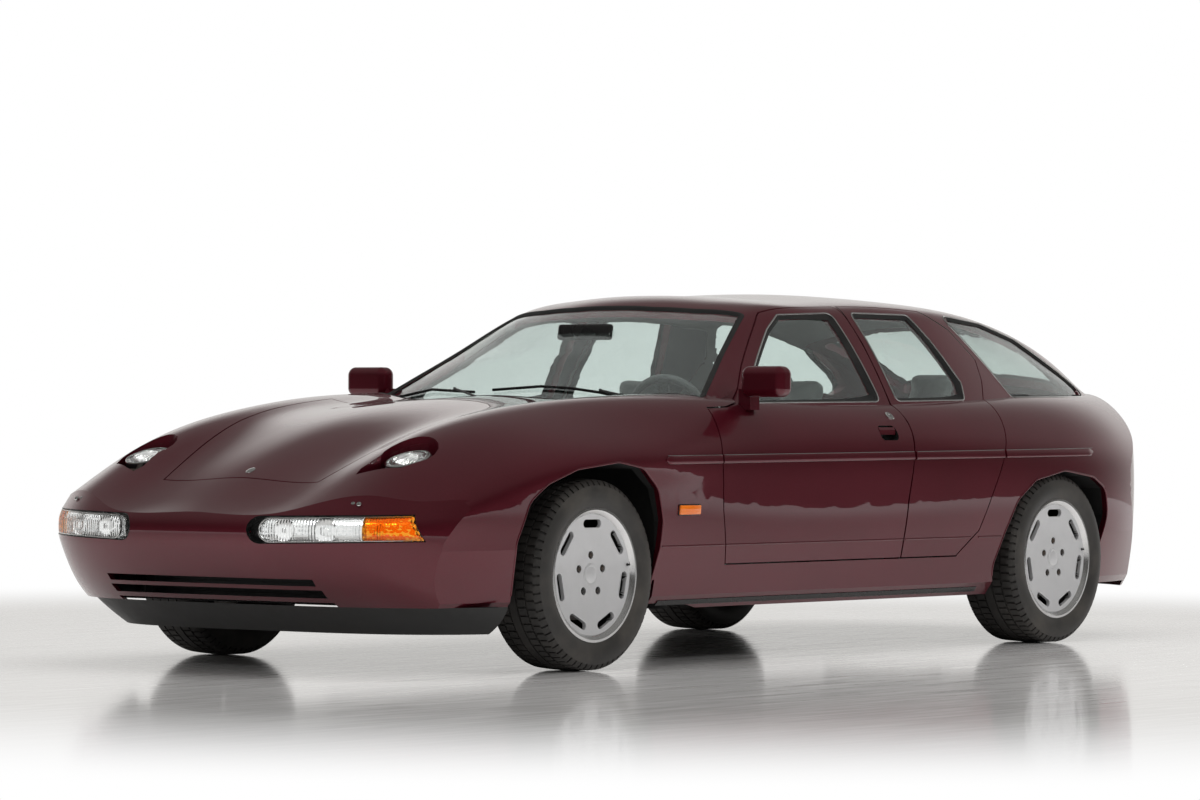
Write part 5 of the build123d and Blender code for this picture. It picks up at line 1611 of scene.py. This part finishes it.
class SEDAN_OT_trim(Operator):
    """Strips and lips along the flanks, door locks, mirrors, wipers, chin, air duct and emblem"""

    bl_idname = "sedan.trim"
    bl_label = "Outside trim"

    def execute(self, context):
        sizes = context.scene.sedan_trim
        height, proud = sizes.strip_height, sizes.strip_proud
        bright = [
            (-0.0011, 0.4 * proud), (-0.0009, 0.85 * proud), (0.0, 1.02 * proud), (0.0012, 1.05 * proud),
            (0.0012, 0.4 * proud),
        ]
        for name, first, last, body in STRIP_SPANS:
            pair(rub_strip(f"{name}_strip", first, last, height, proud), "body_paint", "wine_paint", body, 50)
            _, path, ups = strip_path(first - 0.006, last + 0.001, height * 0.44)
            pair(bead(f"{name}_strip_edge", path, ups, bright, closed=False), "lamp_body", "bright_trim", body, 60)
        for name, arch in (("front_arch_lip", FRONT_ARCH), ("rear_arch_lip", REAR_ARCH)):
            pair(arch_lip(name, arch), "body_paint", "wine_paint", angle=60)
        pair(sill_strip(), "trim_black", "satin_black")
        for name, first, last, body in CREASE_SPANS:
            pair(crease(f"{name}_crease", first, last), "body_paint", "wine_paint", body, 70)
        shape = [
            (0.0195, -0.001), (0.0195, 0.0020), (0.0175, 0.0032), (0.0140, 0.0020), (0.0095, 0.0024),
            (0.0095, 0.0010), (0, 0.0010),
        ]
        lock = turned("door_lock", shape, *on_side(-0.354, 0.839), steps=36)
        pair(lock, "lamp_body", "bright_trim", "front_door", 40)
        for side, _ in SIDES:
            mirror = cad_copy(f"mirror_{side}", f"door_mirror_{side}", angle=40)
            finish_faces(
                mirror, ("wine_paint", "satin_black"),
                lambda face: 1 if face.center.x < 0.4265 and abs(face.center.y) > 0.8215 else 0,
            )
        pane = block("mirror_glass", (0.4245, 0.895, 0.955), (0.002, 0.141, 0.073), 0.0009)
        pair(pane, "lamp_body", "mirror_glass", "front_door")
        dress("wipers", "satin_black")
        dress("scuttle", "black_plastic")
        chin = cad_copy("valance", "chin_spoiler")
        finish_faces(chin, ("black_plastic",), lambda face: 0)
        front = on_nose(0.480, 0.230)[0].x - 0.012
        back = 2.062
        middle, length = (front + back) / 2, front - back
        duct = [block("duct", (middle, 0, z), (length, 0.980, 0.004), 0.0015) for z in (0.2285, 0.330)]
        duct += [block("duct", (middle, side * 0.4885, 0.279), (length, 0.004, 0.104), 0.0015) for side in (-1, 1)]
        finished(joined("air_duct", duct), "body", "trim_black", "satin_black")
        place, normal = on_top(2.082, 0.0)
        shape = [(0.019, -0.001), (0.019, 0.0010), (0.0175, 0.0022), (0.010, 0.0030), (0, 0.0033)]
        badge = turned("bonnet_emblem", shape, place, normal, steps=40)
        for vertex in badge.data.vertices:
            vertex.co.y *= 0.78
        finished(badge, "bonnet", "lamp_body", "bright_trim", angle=50)
        return {"FINISHED"}


# ---------------- seats
SEAT_PLACES = (("front", (0.0, 0.370, 0.240), "front_seats"), ("rear", (-0.830, 0.372, 0.270), "rear_seats"))
SEAT_HINGE = Vector((-0.260, 0, 0.100))
SEAT_LEAN = math.radians(-16)
SWELL = 0.022
CHANNEL = 0.047  # from one sewn channel to the next
SIM_FRAMES = 20


def lumps(name, boxes):
    """Overlapping rounded boxes as one mesh, to be remeshed into one skin."""
    return joined(name, [block("lump", centre, size, radius, turn, 2) for centre, size, radius, turn in boxes])


def cushion_form():
    rise = math.radians(-3)
    boxes = [
        ((-0.005, 0, 0.085), (0.455, 0.370, 0.115), 0.045, (0, rise, 0)),
        ((0.205, 0, 0.078), (0.060, 0.330, 0.095), 0.025, (0, 0, 0)),
    ]
    for side in (-1, 1):
        boxes.append(((-0.010, side * 0.160, 0.100), (0.430, 0.078, 0.135), 0.034, (side * math.radians(6), rise, 0)))
    return lumps("cushion", boxes)


def back_form():
    boxes = [
        ((-0.296, 0, 0.345), (0.090, 0.350, 0.500), 0.035, (0, 0, 0)),
        ((-0.292, 0, 0.590), (0.078, 0.300, 0.110), 0.032, (0, 0, 0)),
        ((-0.292, 0, 0.655), (0.066, 0.215, 0.110), 0.028, (0, 0, 0)),
        ((-0.296, 0, 0.715), (0.062, 0.200, 0.130), 0.030, (0, 0, 0)),
    ]
    for side in (-1, 1):
        boxes.append(((-0.276, side * 0.155, 0.300), (0.105, 0.070, 0.350), 0.032, (0, 0, side * math.radians(10))))
    for side in (-1, 1):
        boxes.append(((-0.288, side * 0.140, 0.510), (0.085, 0.075, 0.130), 0.032, (side * math.radians(14), 0, 0)))
    return lumps("back", boxes)


def swollen(obj, voxel, pressure):
    """Makes one skin of a pad and swells it as cloth under pressure, no point further than SWELL."""
    alone(obj)
    obj.data.remesh_voxel_size = voxel
    bpy.ops.object.voxel_remesh()
    editing(obj, "VERT")
    bpy.ops.mesh.select_all(action="SELECT")
    bpy.ops.mesh.vertices_smooth(factor=0.5, repeat=6)
    done()
    rest = [v.co.copy() for v in obj.data.vertices]
    cloth = obj.modifiers.new("Cloth", "CLOTH")
    settings = cloth.settings
    settings.quality = 5
    settings.mass = 0.3
    settings.use_pressure = True
    settings.uniform_pressure_force = pressure
    settings.effector_weights.gravity = 0
    settings.tension_stiffness = settings.compression_stiffness = 12
    settings.shear_stiffness = 8
    settings.bending_stiffness = 0.6
    scene = bpy.context.scene
    cloth.point_cache.frame_start, cloth.point_cache.frame_end = 1, SIM_FRAMES
    for step in range(1, SIM_FRAMES + 1):
        scene.frame_set(step)
        bpy.context.view_layer.update()
    alone(obj)
    bpy.ops.object.modifier_apply(modifier="Cloth")
    scene.frame_set(1)
    for vertex, start in zip(obj.data.vertices, rest):
        away = vertex.co - start
        if away.length > SWELL:
            vertex.co = start + away.normalized() * SWELL
    levels = obj.modifiers.new("Subdivision", "SUBSURF")
    levels.levels = levels.render_levels = 1
    alone(obj)
    bpy.ops.object.modifier_apply(modifier="Subdivision")
    return obj


def furrow(distance, width):
    """1 in the middle of a sewn seam, falling to 0 at its width."""
    return max(0.0, 1 - abs(distance) / width) ** 1.6


def quilt(obj, depth, top):
    """Presses the sewn channels and the seams beside them into a pad's top or front, along its normals."""
    normals = [v.normal.copy() for v in obj.data.vertices]
    for vertex, normal in zip(obj.data.vertices, normals):
        place = vertex.co
        facing = normal.z if top else normal.x
        if facing < 0.25:
            continue
        along = place.x if top else place.z
        first, last = (-0.215, 0.185) if top else (0.135, 0.545)
        press = furrow(abs(place.y) - 0.118, 0.014) * 1.15 if first - 0.02 < along < last + 0.03 else 0.0
        if abs(place.y) < 0.122 and first < along < last:
            nearest = (along - first + CHANNEL / 2) % CHANNEL - CHANNEL / 2
            press = max(press, furrow(nearest, 0.013))
        if not top and abs(along - 0.640) < 0.02 and abs(place.y) < 0.13:
            press = max(press, furrow(along - 0.640, 0.014))
        vertex.co = place - normal * depth * press * min(1.0, (facing - 0.25) * 3)


def seat_trim():
    """Plinth with its rails, back shell and recliner knobs, at a seat's own origin."""
    plinth = [block("plinth", (-0.005, 0, 0.008), (0.380, 0.330, 0.060), 0.010)]
    plinth += [block("rail", (-0.005, side * 0.150, -0.0165), (0.400, 0.026, 0.014), 0.003) for side in (-1, 1)]
    base = joined("seat_base", plinth)
    shell = block("seat_back_shell", (-0.340, 0, 0.330), (0.022, 0.350, 0.470), 0.010)
    shell.data.transform(lean_matrix())
    shape = [(0.030, 0), (0.030, 0.010), (0.026, 0.014), (0, 0.015)]
    knobs = [turned("knob", shape, (-0.250, side * 0.196, 0.100), (0, side, 0), steps=28) for side in (-1, 1)]
    return base, shell, joined("seat_recliners", knobs)


def lean_matrix():
    """Leans a seat's back about its hinge."""
    return Matrix.Translation(SEAT_HINGE) @ Matrix.Rotation(SEAT_LEAN, 4, "Y") @ Matrix.Translation(-SEAT_HINGE)


class SEDAN_OT_seats(Operator):
    """Four leather bucket seats, their pads swollen as cloth and sewn in channels"""

    bl_idname = "sedan.seats"
    bl_label = "Seats"

    def execute(self, context):
        cabin = context.scene.sedan_cabin
        cushion = swollen(cushion_form(), cabin.voxel, cabin.pressure)
        quilt(cushion, cabin.groove, True)
        back = swollen(back_form(), cabin.voxel, cabin.pressure)
        quilt(back, cabin.groove, False)
        back.data.transform(lean_matrix())
        pieces = (cushion, back, *seat_trim())
        finishes = (
            ("seat_leather", 80), ("seat_leather", 80), ("black_plastic", 35), ("door_leather", 35),
            ("satin_black", 35),
        )
        for piece, (material, angle) in zip(pieces, finishes):
            finished(piece, "body", "leather", material, angle)
        for row, (x, y, z), node in SEAT_PLACES:
            for side, sign in SIDES:
                there = Matrix.Translation((x, y * sign, z))
                made = [copied(piece, f"{row}_seat_{piece.name}_{side}", there, "body") for piece in pieces]
                for pad in made[:2]:
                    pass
                if side == "left":
                    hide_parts(node)
        for piece in pieces:
            bpy.data.objects.remove(piece)
        return {"FINISHED"}


# ---------------- cabin
HUB = Vector((0.300, 0.370, 0.787))
HUB_AXIS = Vector((-0.270, 0, 0.078)).normalized()
LINING = 0.070  # from a door's skin to its lining


def fixed(obj, material, slot="trim_black", body="body", angle=35):
    finished(obj, body, slot, material, angle)


def dial(place, radius):
    """A bare instrument: bright ring, dark face and its ticks."""
    shape = [(radius, -0.002), (radius + 0.003, 0.001), (radius + 0.001, 0.004), (radius - 0.002, 0.001)]
    ring = turned("dial_ring", shape, place, HUB_AXIS, closed=True)
    face = turned("dial_face", [(radius, 0), (0, 0)], place, HUB_AXIS)
    across, up = Vector((0, 1, 0)), HUB_AXIS.cross(Vector((0, 1, 0))) * -1
    ticks = []
    for k in range(13):
        turn = math.radians(-30 + 20 * k)
        out = across * math.cos(turn) + up * math.sin(turn)
        tick = block("tick", (0, 0, 0), (radius * 0.16, 0.0016, 0.0008), 0.0003, segments=1)
        frame_of = Matrix((out, HUB_AXIS.cross(out), HUB_AXIS)).transposed().to_4x4()
        tick.data.transform(Matrix.Translation(place + out * radius * 0.84 + HUB_AXIS * 0.0006) @ frame_of)
        ticks.append(tick)
    return ring, face, ticks


def instruments():
    """Hooded binnacle with its four instruments, ahead of the steering wheel."""
    lean = (0, math.radians(-8), 0)
    hood = block("instrument_hood", (0.520, 0.370, 0.808), (0.190, 0.380, 0.130), 0.034, lean, 4)
    fixed(hood, "dash_leather")
    face_at = Vector((0.4195, 0.370, 0.806))
    plate = block("instrument_plate", face_at, (0.006, 0.330, 0.098), 0.003, (0, math.radians(-16), 0))
    fixed(plate, "satin_black")
    rings, faces, ticks = [], [], []
    for y, radius in ((-0.052, 0.036), (0.052, 0.036), (-0.128, 0.024), (0.128, 0.024)):
        ring, face, marks = dial(face_at + Vector((0, y, 0)) + HUB_AXIS * 0.0042, radius)
        rings.append(ring)
        faces.append(face)
        ticks += marks
    fixed(joined("dial_rings", rings), "bright_trim")
    fixed(joined("dial_faces", faces), "black_plastic")
    fixed(joined("dial_ticks", ticks), "plate_blank")


def vent(place, size):
    """An air vent: its frame and five vanes."""
    x, y, z = place
    w, h = size
    bars = [block("bar", (x, y + side * w / 2, z), (0.014, 0.006, h + 0.006), 0.002) for side in (-1, 1)]
    bars += [block("bar", (x, y, z + side * h / 2), (0.014, w, 0.006), 0.002) for side in (-1, 1)]
    for k in range(5):
        place = (x + 0.003, y, z + (k - 2) * h / 6)
        bars.append(block("bar", place, (0.012, w - 0.004, 0.002), 0.0006, (0, math.radians(20), 0), 1))
    return bars


def door_trim(name, front, back, height):
    """Armrest, map pocket, release and loudspeaker on the linings of a pair of doors."""
    middle, length = (front + back) / 2, front - back
    grip = middle + length * 0.24

    def inside(x, z, depth):
        place, _ = on_side(x, z)
        return Vector((x, place.y - LINING - depth, z))

    size, lean = (length * 0.62, 0.056, 0.050), (0, math.radians(3), 0)
    rest = block(f"{name}_armrest", inside(middle, height, 0.022), size, 0.018, lean, 4)
    pocket = block(
        f"{name}_pocket", inside(middle, height - 0.170, 0.010), (length * 0.66, 0.034, 0.110), 0.014, segments=4,
    )
    release = [
        block("pull", inside(grip, height + 0.075, 0.012), (0.090, 0.018, 0.022), 0.007),
        block("plate", inside(grip, height + 0.075, 0.001), (0.120, 0.008, 0.048), 0.003),
    ]
    cone = [(0.060, 0), (0.060, 0.006), (0.052, 0.009), (0, 0.010)]
    speaker = turned(f"{name}_speaker", cone, inside(front - 0.11, height - 0.160, 0.0), (0, -1, 0), steps=40)
    for piece, material in (
        (rest, "door_leather"), (pocket, "door_leather"),
        (joined(f"{name}_release", release), "satin_black"), (speaker, "black_plastic"),
    ):
        pair(piece, "body_paint", material, name)


class SEDAN_OT_cabin(Operator):
    """Dashboard, steering wheel, console, door trim, mirror, pedals and carpet"""

    bl_idname = "sedan.cabin"
    bl_label = "Cabin"

    def execute(self, context):
        dash = cad_copy("dashboard", "dashboard_body")
        finish_faces(dash, ("dash_leather",), lambda face: 0)
        instruments()
        vents = []
        for y in (-0.640, -0.085, 0.085, 0.640):
            vents += vent((0.4655, y, 0.705), (0.110, 0.052))
        fixed(joined("air_vents", vents), "satin_black")
        stack = [block("slot", (0.466, 0, z), (0.010, 0.176, 0.040), 0.003) for z in (0.622, 0.566)]
        knob = [(0.012, 0), (0.012, 0.012), (0.009, 0.015), (0, 0.015)]
        stack += [turned("knob", knob, (0.462, y, 0.622), (-1, 0, 0), steps=24) for y in (-0.070, 0, 0.070)]
        stack += [block("button", (0.4585, -0.075 + 0.03 * k, 0.566), (0.007, 0.020, 0.018), 0.002) for k in range(6)]
        fixed(joined("centre_controls", stack), "satin_black")
        fixed(block("glovebox_lid", (0.4665, -0.430, 0.655), (0.012, 0.340, 0.090), 0.005), "dash_leather")
        boot = [(0.038, 0), (0.034, 0.012), (0.016, 0.030), (0.009, 0.034), (0, 0.034)]
        grip = [(0, 0), (0.014, 0.003), (0.019, 0.018), (0.021, 0.034), (0.017, 0.046), (0, 0.050)]
        lever = [
            turned("boot", boot, (0.300, 0, 0.520), (0, 0, 1), steps=32),
            turned("stem", [(0.005, 0), (0.005, 0.095), (0, 0.095)], (0.300, 0, 0.522), (-0.12, 0, 1), steps=16),
            turned("grip", grip, (0.2895, 0, 0.606), (-0.12, 0, 1), steps=32),
        ]
        fixed(joined("gear_lever", lever), "door_leather")
        fixed(block("gear_plate", (0.290, 0, 0.5205), (0.180, 0.110, 0.005), 0.002), "satin_black")
        lid = block("armrest_lid", (-0.190, 0, 0.536), (0.300, 0.170, 0.034), 0.014, segments=4)
        fixed(lid, "door_leather", "leather")
        wheel = cad_copy("steering_wheel", "steering_wheel_rim", angle=40)
        finish_faces(wheel, ("dash_leather",), lambda face: 0)
        shape = [
            (0, 0.030), (0.030, 0.0295), (0.052, 0.026), (0.064, 0.018), (0.068, 0.006), (0.066, -0.008), (0, -0.008),
        ]
        fixed(turned("steering_wheel_pad", shape, HUB, HUB_AXIS), "dash_leather", body="steering_wheel", angle=60)
        mirror_place, lean = Vector((0.330, 0, 1.130)), (0, math.radians(-8), 0)
        reach = on_top(0.300, 0.0)[0].z - 0.012 - 1.140
        housing = block("cabin_mirror", mirror_place, (0.026, 0.240, 0.060), 0.011, lean, 4)
        stem = turned("stem", [(0.006, 0), (0.006, reach), (0, reach)], (0.334, 0, 1.140), (-0.10, 0, 1), steps=16)
        fixed(joined("cabin_mirror", [housing, stem]), "satin_black")
        front = mirror_place + Vector((-0.0135, 0, -0.0015))
        fixed(block("cabin_mirror_glass", front, (0.002, 0.226, 0.048), 0.0009, lean), "mirror_glass")
        pedals = []
        for y, z, size in ((0.290, 0.345, (0.012, 0.050, 0.110)), (0.400, 0.360, (0.012, 0.090, 0.060))):
            pedals.append(block("pedal", (0.800, y, z), size, 0.004, (0, math.radians(-30), 0)))
            pedals.append(
                turned("arm", [(0.007, 0), (0.007, 0.235), (0, 0.235)], (0.806, y, z), (0.14, 0, 1), steps=12)
            )
        fixed(joined("pedals", pedals), "black_plastic")
        door_trim("front_door", 0.560, -0.360, 0.640)
        door_trim("rear_door", -0.480, -0.960, 0.650)

        def covering(face):
            x, _, z = face.center
            inside = (-1.25 < x < 0.902 and z > 0.2135) or (x <= -1.2395 and z > 0.4335)
            return 0 if inside and face.normal.z >= -0.5 else 1

        finish_faces(cad_copy("floor_pan", "floor_pan_surface"), ("carpet", "underseal"), covering)
        return {"FINISHED"}


# ---------------- tail, exhaust and engine bay
TAIL_LAMP = (0.330, 0.618, 0.628, 0.705)  # inner and outer y, lower and upper z
PIPE_END, PIPE_Y, PIPE_Z = -2.340, 0.26, 0.214
ENGINE_TOP = 0.720


def tail_bar(name, y, z, size, depth, radius=0.0012):
    """A small bar that stands on the tail, depth below the skin."""
    place, normal = on_nose(y, z, tail=True)
    turn = Vector((-1, 0, 0)).rotation_difference(normal).to_euler()
    return block(name, place - normal * depth, size, radius, turn)


def tail_lamp_frame():
    """Black frame round a rear lamp unit and the bars between its panes."""
    inner, outer, low, top = TAIL_LAMP
    corners = [(inner, low), (outer, low), (outer, top), (inner, top)]
    points = [tuple(p) for p in rounded_outline(corners, 0.012, 0.012)]
    path, ups = lies_on(points, lambda y, z: on_nose(y, z, tail=True))
    way = outward_way(path, ups)
    section = [
        (0.0010, -0.005), (0.0024, 0.0006), (0.0012, 0.0018), (-0.0016, 0.0016), (-0.0030, -0.0004),
        (-0.0030, -0.005),
    ]
    made = [bead("lamp_frame", path, ups, [(way * a, u) for a, u in section])]
    made += [
        tail_bar("lamp_bar", y, (low + top) / 2, (0.005, 0.004, top - low - 0.002), 0.0022) for y in (0.418, 0.522)
    ]
    made += [tail_bar("lamp_bar", 0.470, z, (0.003, 0.100, 0.0016), 0.0026, 0.0006) for z in (0.654, 0.680)]
    return joined("tail_lamp_frame", made)


def hollow_pipes():
    """The exhaust with its two tail pipes opened at their ends."""
    pipes = cad_copy("exhaust", "exhaust_system", angle=50)
    editing(pipes)
    choose(pipes, lambda face: face.center.x < PIPE_END + 0.001)
    bpy.ops.mesh.inset(thickness=0.0035)
    bpy.ops.mesh.extrude_region_move(TRANSFORM_OT_translate={"value": (0.11, 0, 0)})
    done()
    return pipes


def engine_pieces():
    """Cam covers with their oil caps, inlet plenum with its runners, pulleys and air box over the engine."""
    enamel, alloy, black = [], [], []
    for side in (-1, 1):
        bank = side * 0.205
        enamel.append(block("cam_cover", (1.300, bank, ENGINE_TOP + 0.020), (0.560, 0.130, 0.052), 0.014))
        for k in range(7):
            alloy.append(
                block("cover_rib", (1.060 + k * 0.080, bank, ENGINE_TOP + 0.0475), (0.008, 0.108, 0.006), 0.002)
            )
        for k in range(4):
            x = 1.120 + k * 0.120
            curve = [
                Vector((x, side * y, ENGINE_TOP + z)) for y, z in ((0.100, 0.058), (0.132, 0.040), (0.150, 0.006))
            ]
            ups = [Vector((0, side * y, z)).normalized() for y, z in ((0.6, 0.8), (0.85, 0.5), (1, 0.1))]
            ring = [(0.022 * math.cos(a), 0.014 * math.sin(a)) for a in (math.tau * n / 12 for n in range(12))]
            alloy.append(bead("runner", curve, ups, ring, closed=False))
        cap = [(0.026, -0.002), (0.026, 0.012), (0.022, 0.017), (0.008, 0.018), (0, 0.018)]
        black.append(turned("oil_cap", cap, (1.530, bank, ENGINE_TOP + 0.046), (0, 0, 1), steps=28))
    alloy.append(block("plenum", (1.300, 0, ENGINE_TOP + 0.052), (0.480, 0.190, 0.062), 0.022))
    for k in range(9):
        alloy.append(block("plenum_rib", (1.100 + k * 0.050, 0, ENGINE_TOP + 0.0835), (0.006, 0.150, 0.005), 0.002))
    for y, z, r in ((0.0, 0.600, 0.085), (0.190, 0.560, 0.052), (-0.190, 0.560, 0.052), (0.0, 0.400, 0.090)):
        wheel = [(r, 0.002), (r, 0.006), (r - 0.006, 0.010), (r, 0.014), (r - 0.006, 0.018), (r, 0.022), (r, 0.026)]
        wheel += [(r - 0.012, 0.026), (r - 0.016, 0.016), (0.020, 0.014), (0.018, 0.026), (0, 0.026)]
        black.append(turned("pulley", wheel, (1.650, y, z), (1, 0, 0), steps=36))
    black.append(block("air_box", (1.800, 0.0, 0.640), (0.170, 0.420, 0.110), 0.022))
    black.append(block("air_box_lid", (1.800, 0.0, 0.702), (0.184, 0.434, 0.016), 0.007))
    return (
        (joined("cam_covers", enamel), "cover_enamel"),
        (joined("inlet_plenum", alloy), "cast_alloy"),
        (joined("engine_ancillaries", black), "black_plastic"),
    )


class SEDAN_OT_tail(Operator):
    """Rear lamps, number plate, exhaust and engine bay"""

    bl_idname = "sedan.tail"
    bl_label = "Tail and engine bay"

    def execute(self, context):
        dress("tail_lamps", "lamp_red")
        pair(tail_lamp_frame(), "trim_black", "satin_black", angle=50)
        plate = tail_bar("rear_plate", 0, 0.531, (0.0022, 0.500, 0.106), 0.0085, 0.0008)
        finished(plate, "body", "lens_clear", "plate_blank")
        light = tail_bar("plate_light", 0.120, 0.585, (0.014, 0.060, 0.010), 0.009, 0.003)
        pair(light, "trim_black", "satin_black")

        def bore(face):
            x, y, z = face.center
            within = math.hypot(abs(y) - PIPE_Y, z - PIPE_Z) < 0.0235
            return 1 if within and abs(y) > 0.2 and PIPE_END < x < -2.22 else 0

        finish_faces(hollow_pipes(), ("exhaust_steel", "inner_arch"), bore)
        engine = cad_copy("drivetrain", "engine_and_radiator", angle=40)
        finish_faces(
            engine, ("cast_steel", "cover_enamel"), lambda face: 1 if face.center.x > 1.9 else 0,
        )
        for piece, material in engine_pieces():
            finished(piece, "body", "cast_steel", material, angle=40)
        fins = [
            block("fin", (2.0615, 0, 0.252 + k * 0.012), (0.003, 0.880, 0.0030), 0.0010, segments=1)
            for k in range(19)
        ]
        finished(joined("radiator_fins", fins), "body", "cast_steel", "cover_enamel")
        return {"FINISHED"}


# ---------------- panel and running order
class SEDAN_PT_pieces(Panel):
    """The car's pieces, in the order in which they are made"""

    bl_label = "Sedan"
    bl_space_type = "VIEW_3D"
    bl_region_type = "UI"
    bl_category = "Sedan"

    def draw(self, context):
        for operator in OPERATORS:
            self.layout.operator(operator.bl_idname)


GROUPS = {
    "sedan_stage": SedanStage,
    "sedan_paint": SedanPaint,
    "sedan_wheels": SedanWheels,
    "sedan_trim": SedanTrim,
    "sedan_cabin": SedanCabin,
}
OPERATORS = (
    SEDAN_OT_finishes,
    SEDAN_OT_stage,
    SEDAN_OT_panels,
    SEDAN_OT_wheels,
    SEDAN_OT_windows,
    SEDAN_OT_lamps,
    SEDAN_OT_trim,
    SEDAN_OT_seats,
    SEDAN_OT_cabin,
    SEDAN_OT_tail,
)


def register():
    for cls in (*GROUPS.values(), *OPERATORS, SEDAN_PT_pieces):
        bpy.utils.register_class(cls)
    for name, group in GROUPS.items():
        setattr(bpy.types.Scene, name, PointerProperty(type=group))


def unregister():
    for name in GROUPS:
        delattr(bpy.types.Scene, name)
    for cls in reversed((*GROUPS.values(), *OPERATORS, SEDAN_PT_pieces)):
        bpy.utils.unregister_class(cls)


def main():
    register()
    for operator in OPERATORS:
        bpy.ops.object.select_all(action="DESELECT")
        group, name = operator.bl_idname.split(".")
        getattr(getattr(bpy.ops, group), name)()


if __name__ == "__main__":
    main()
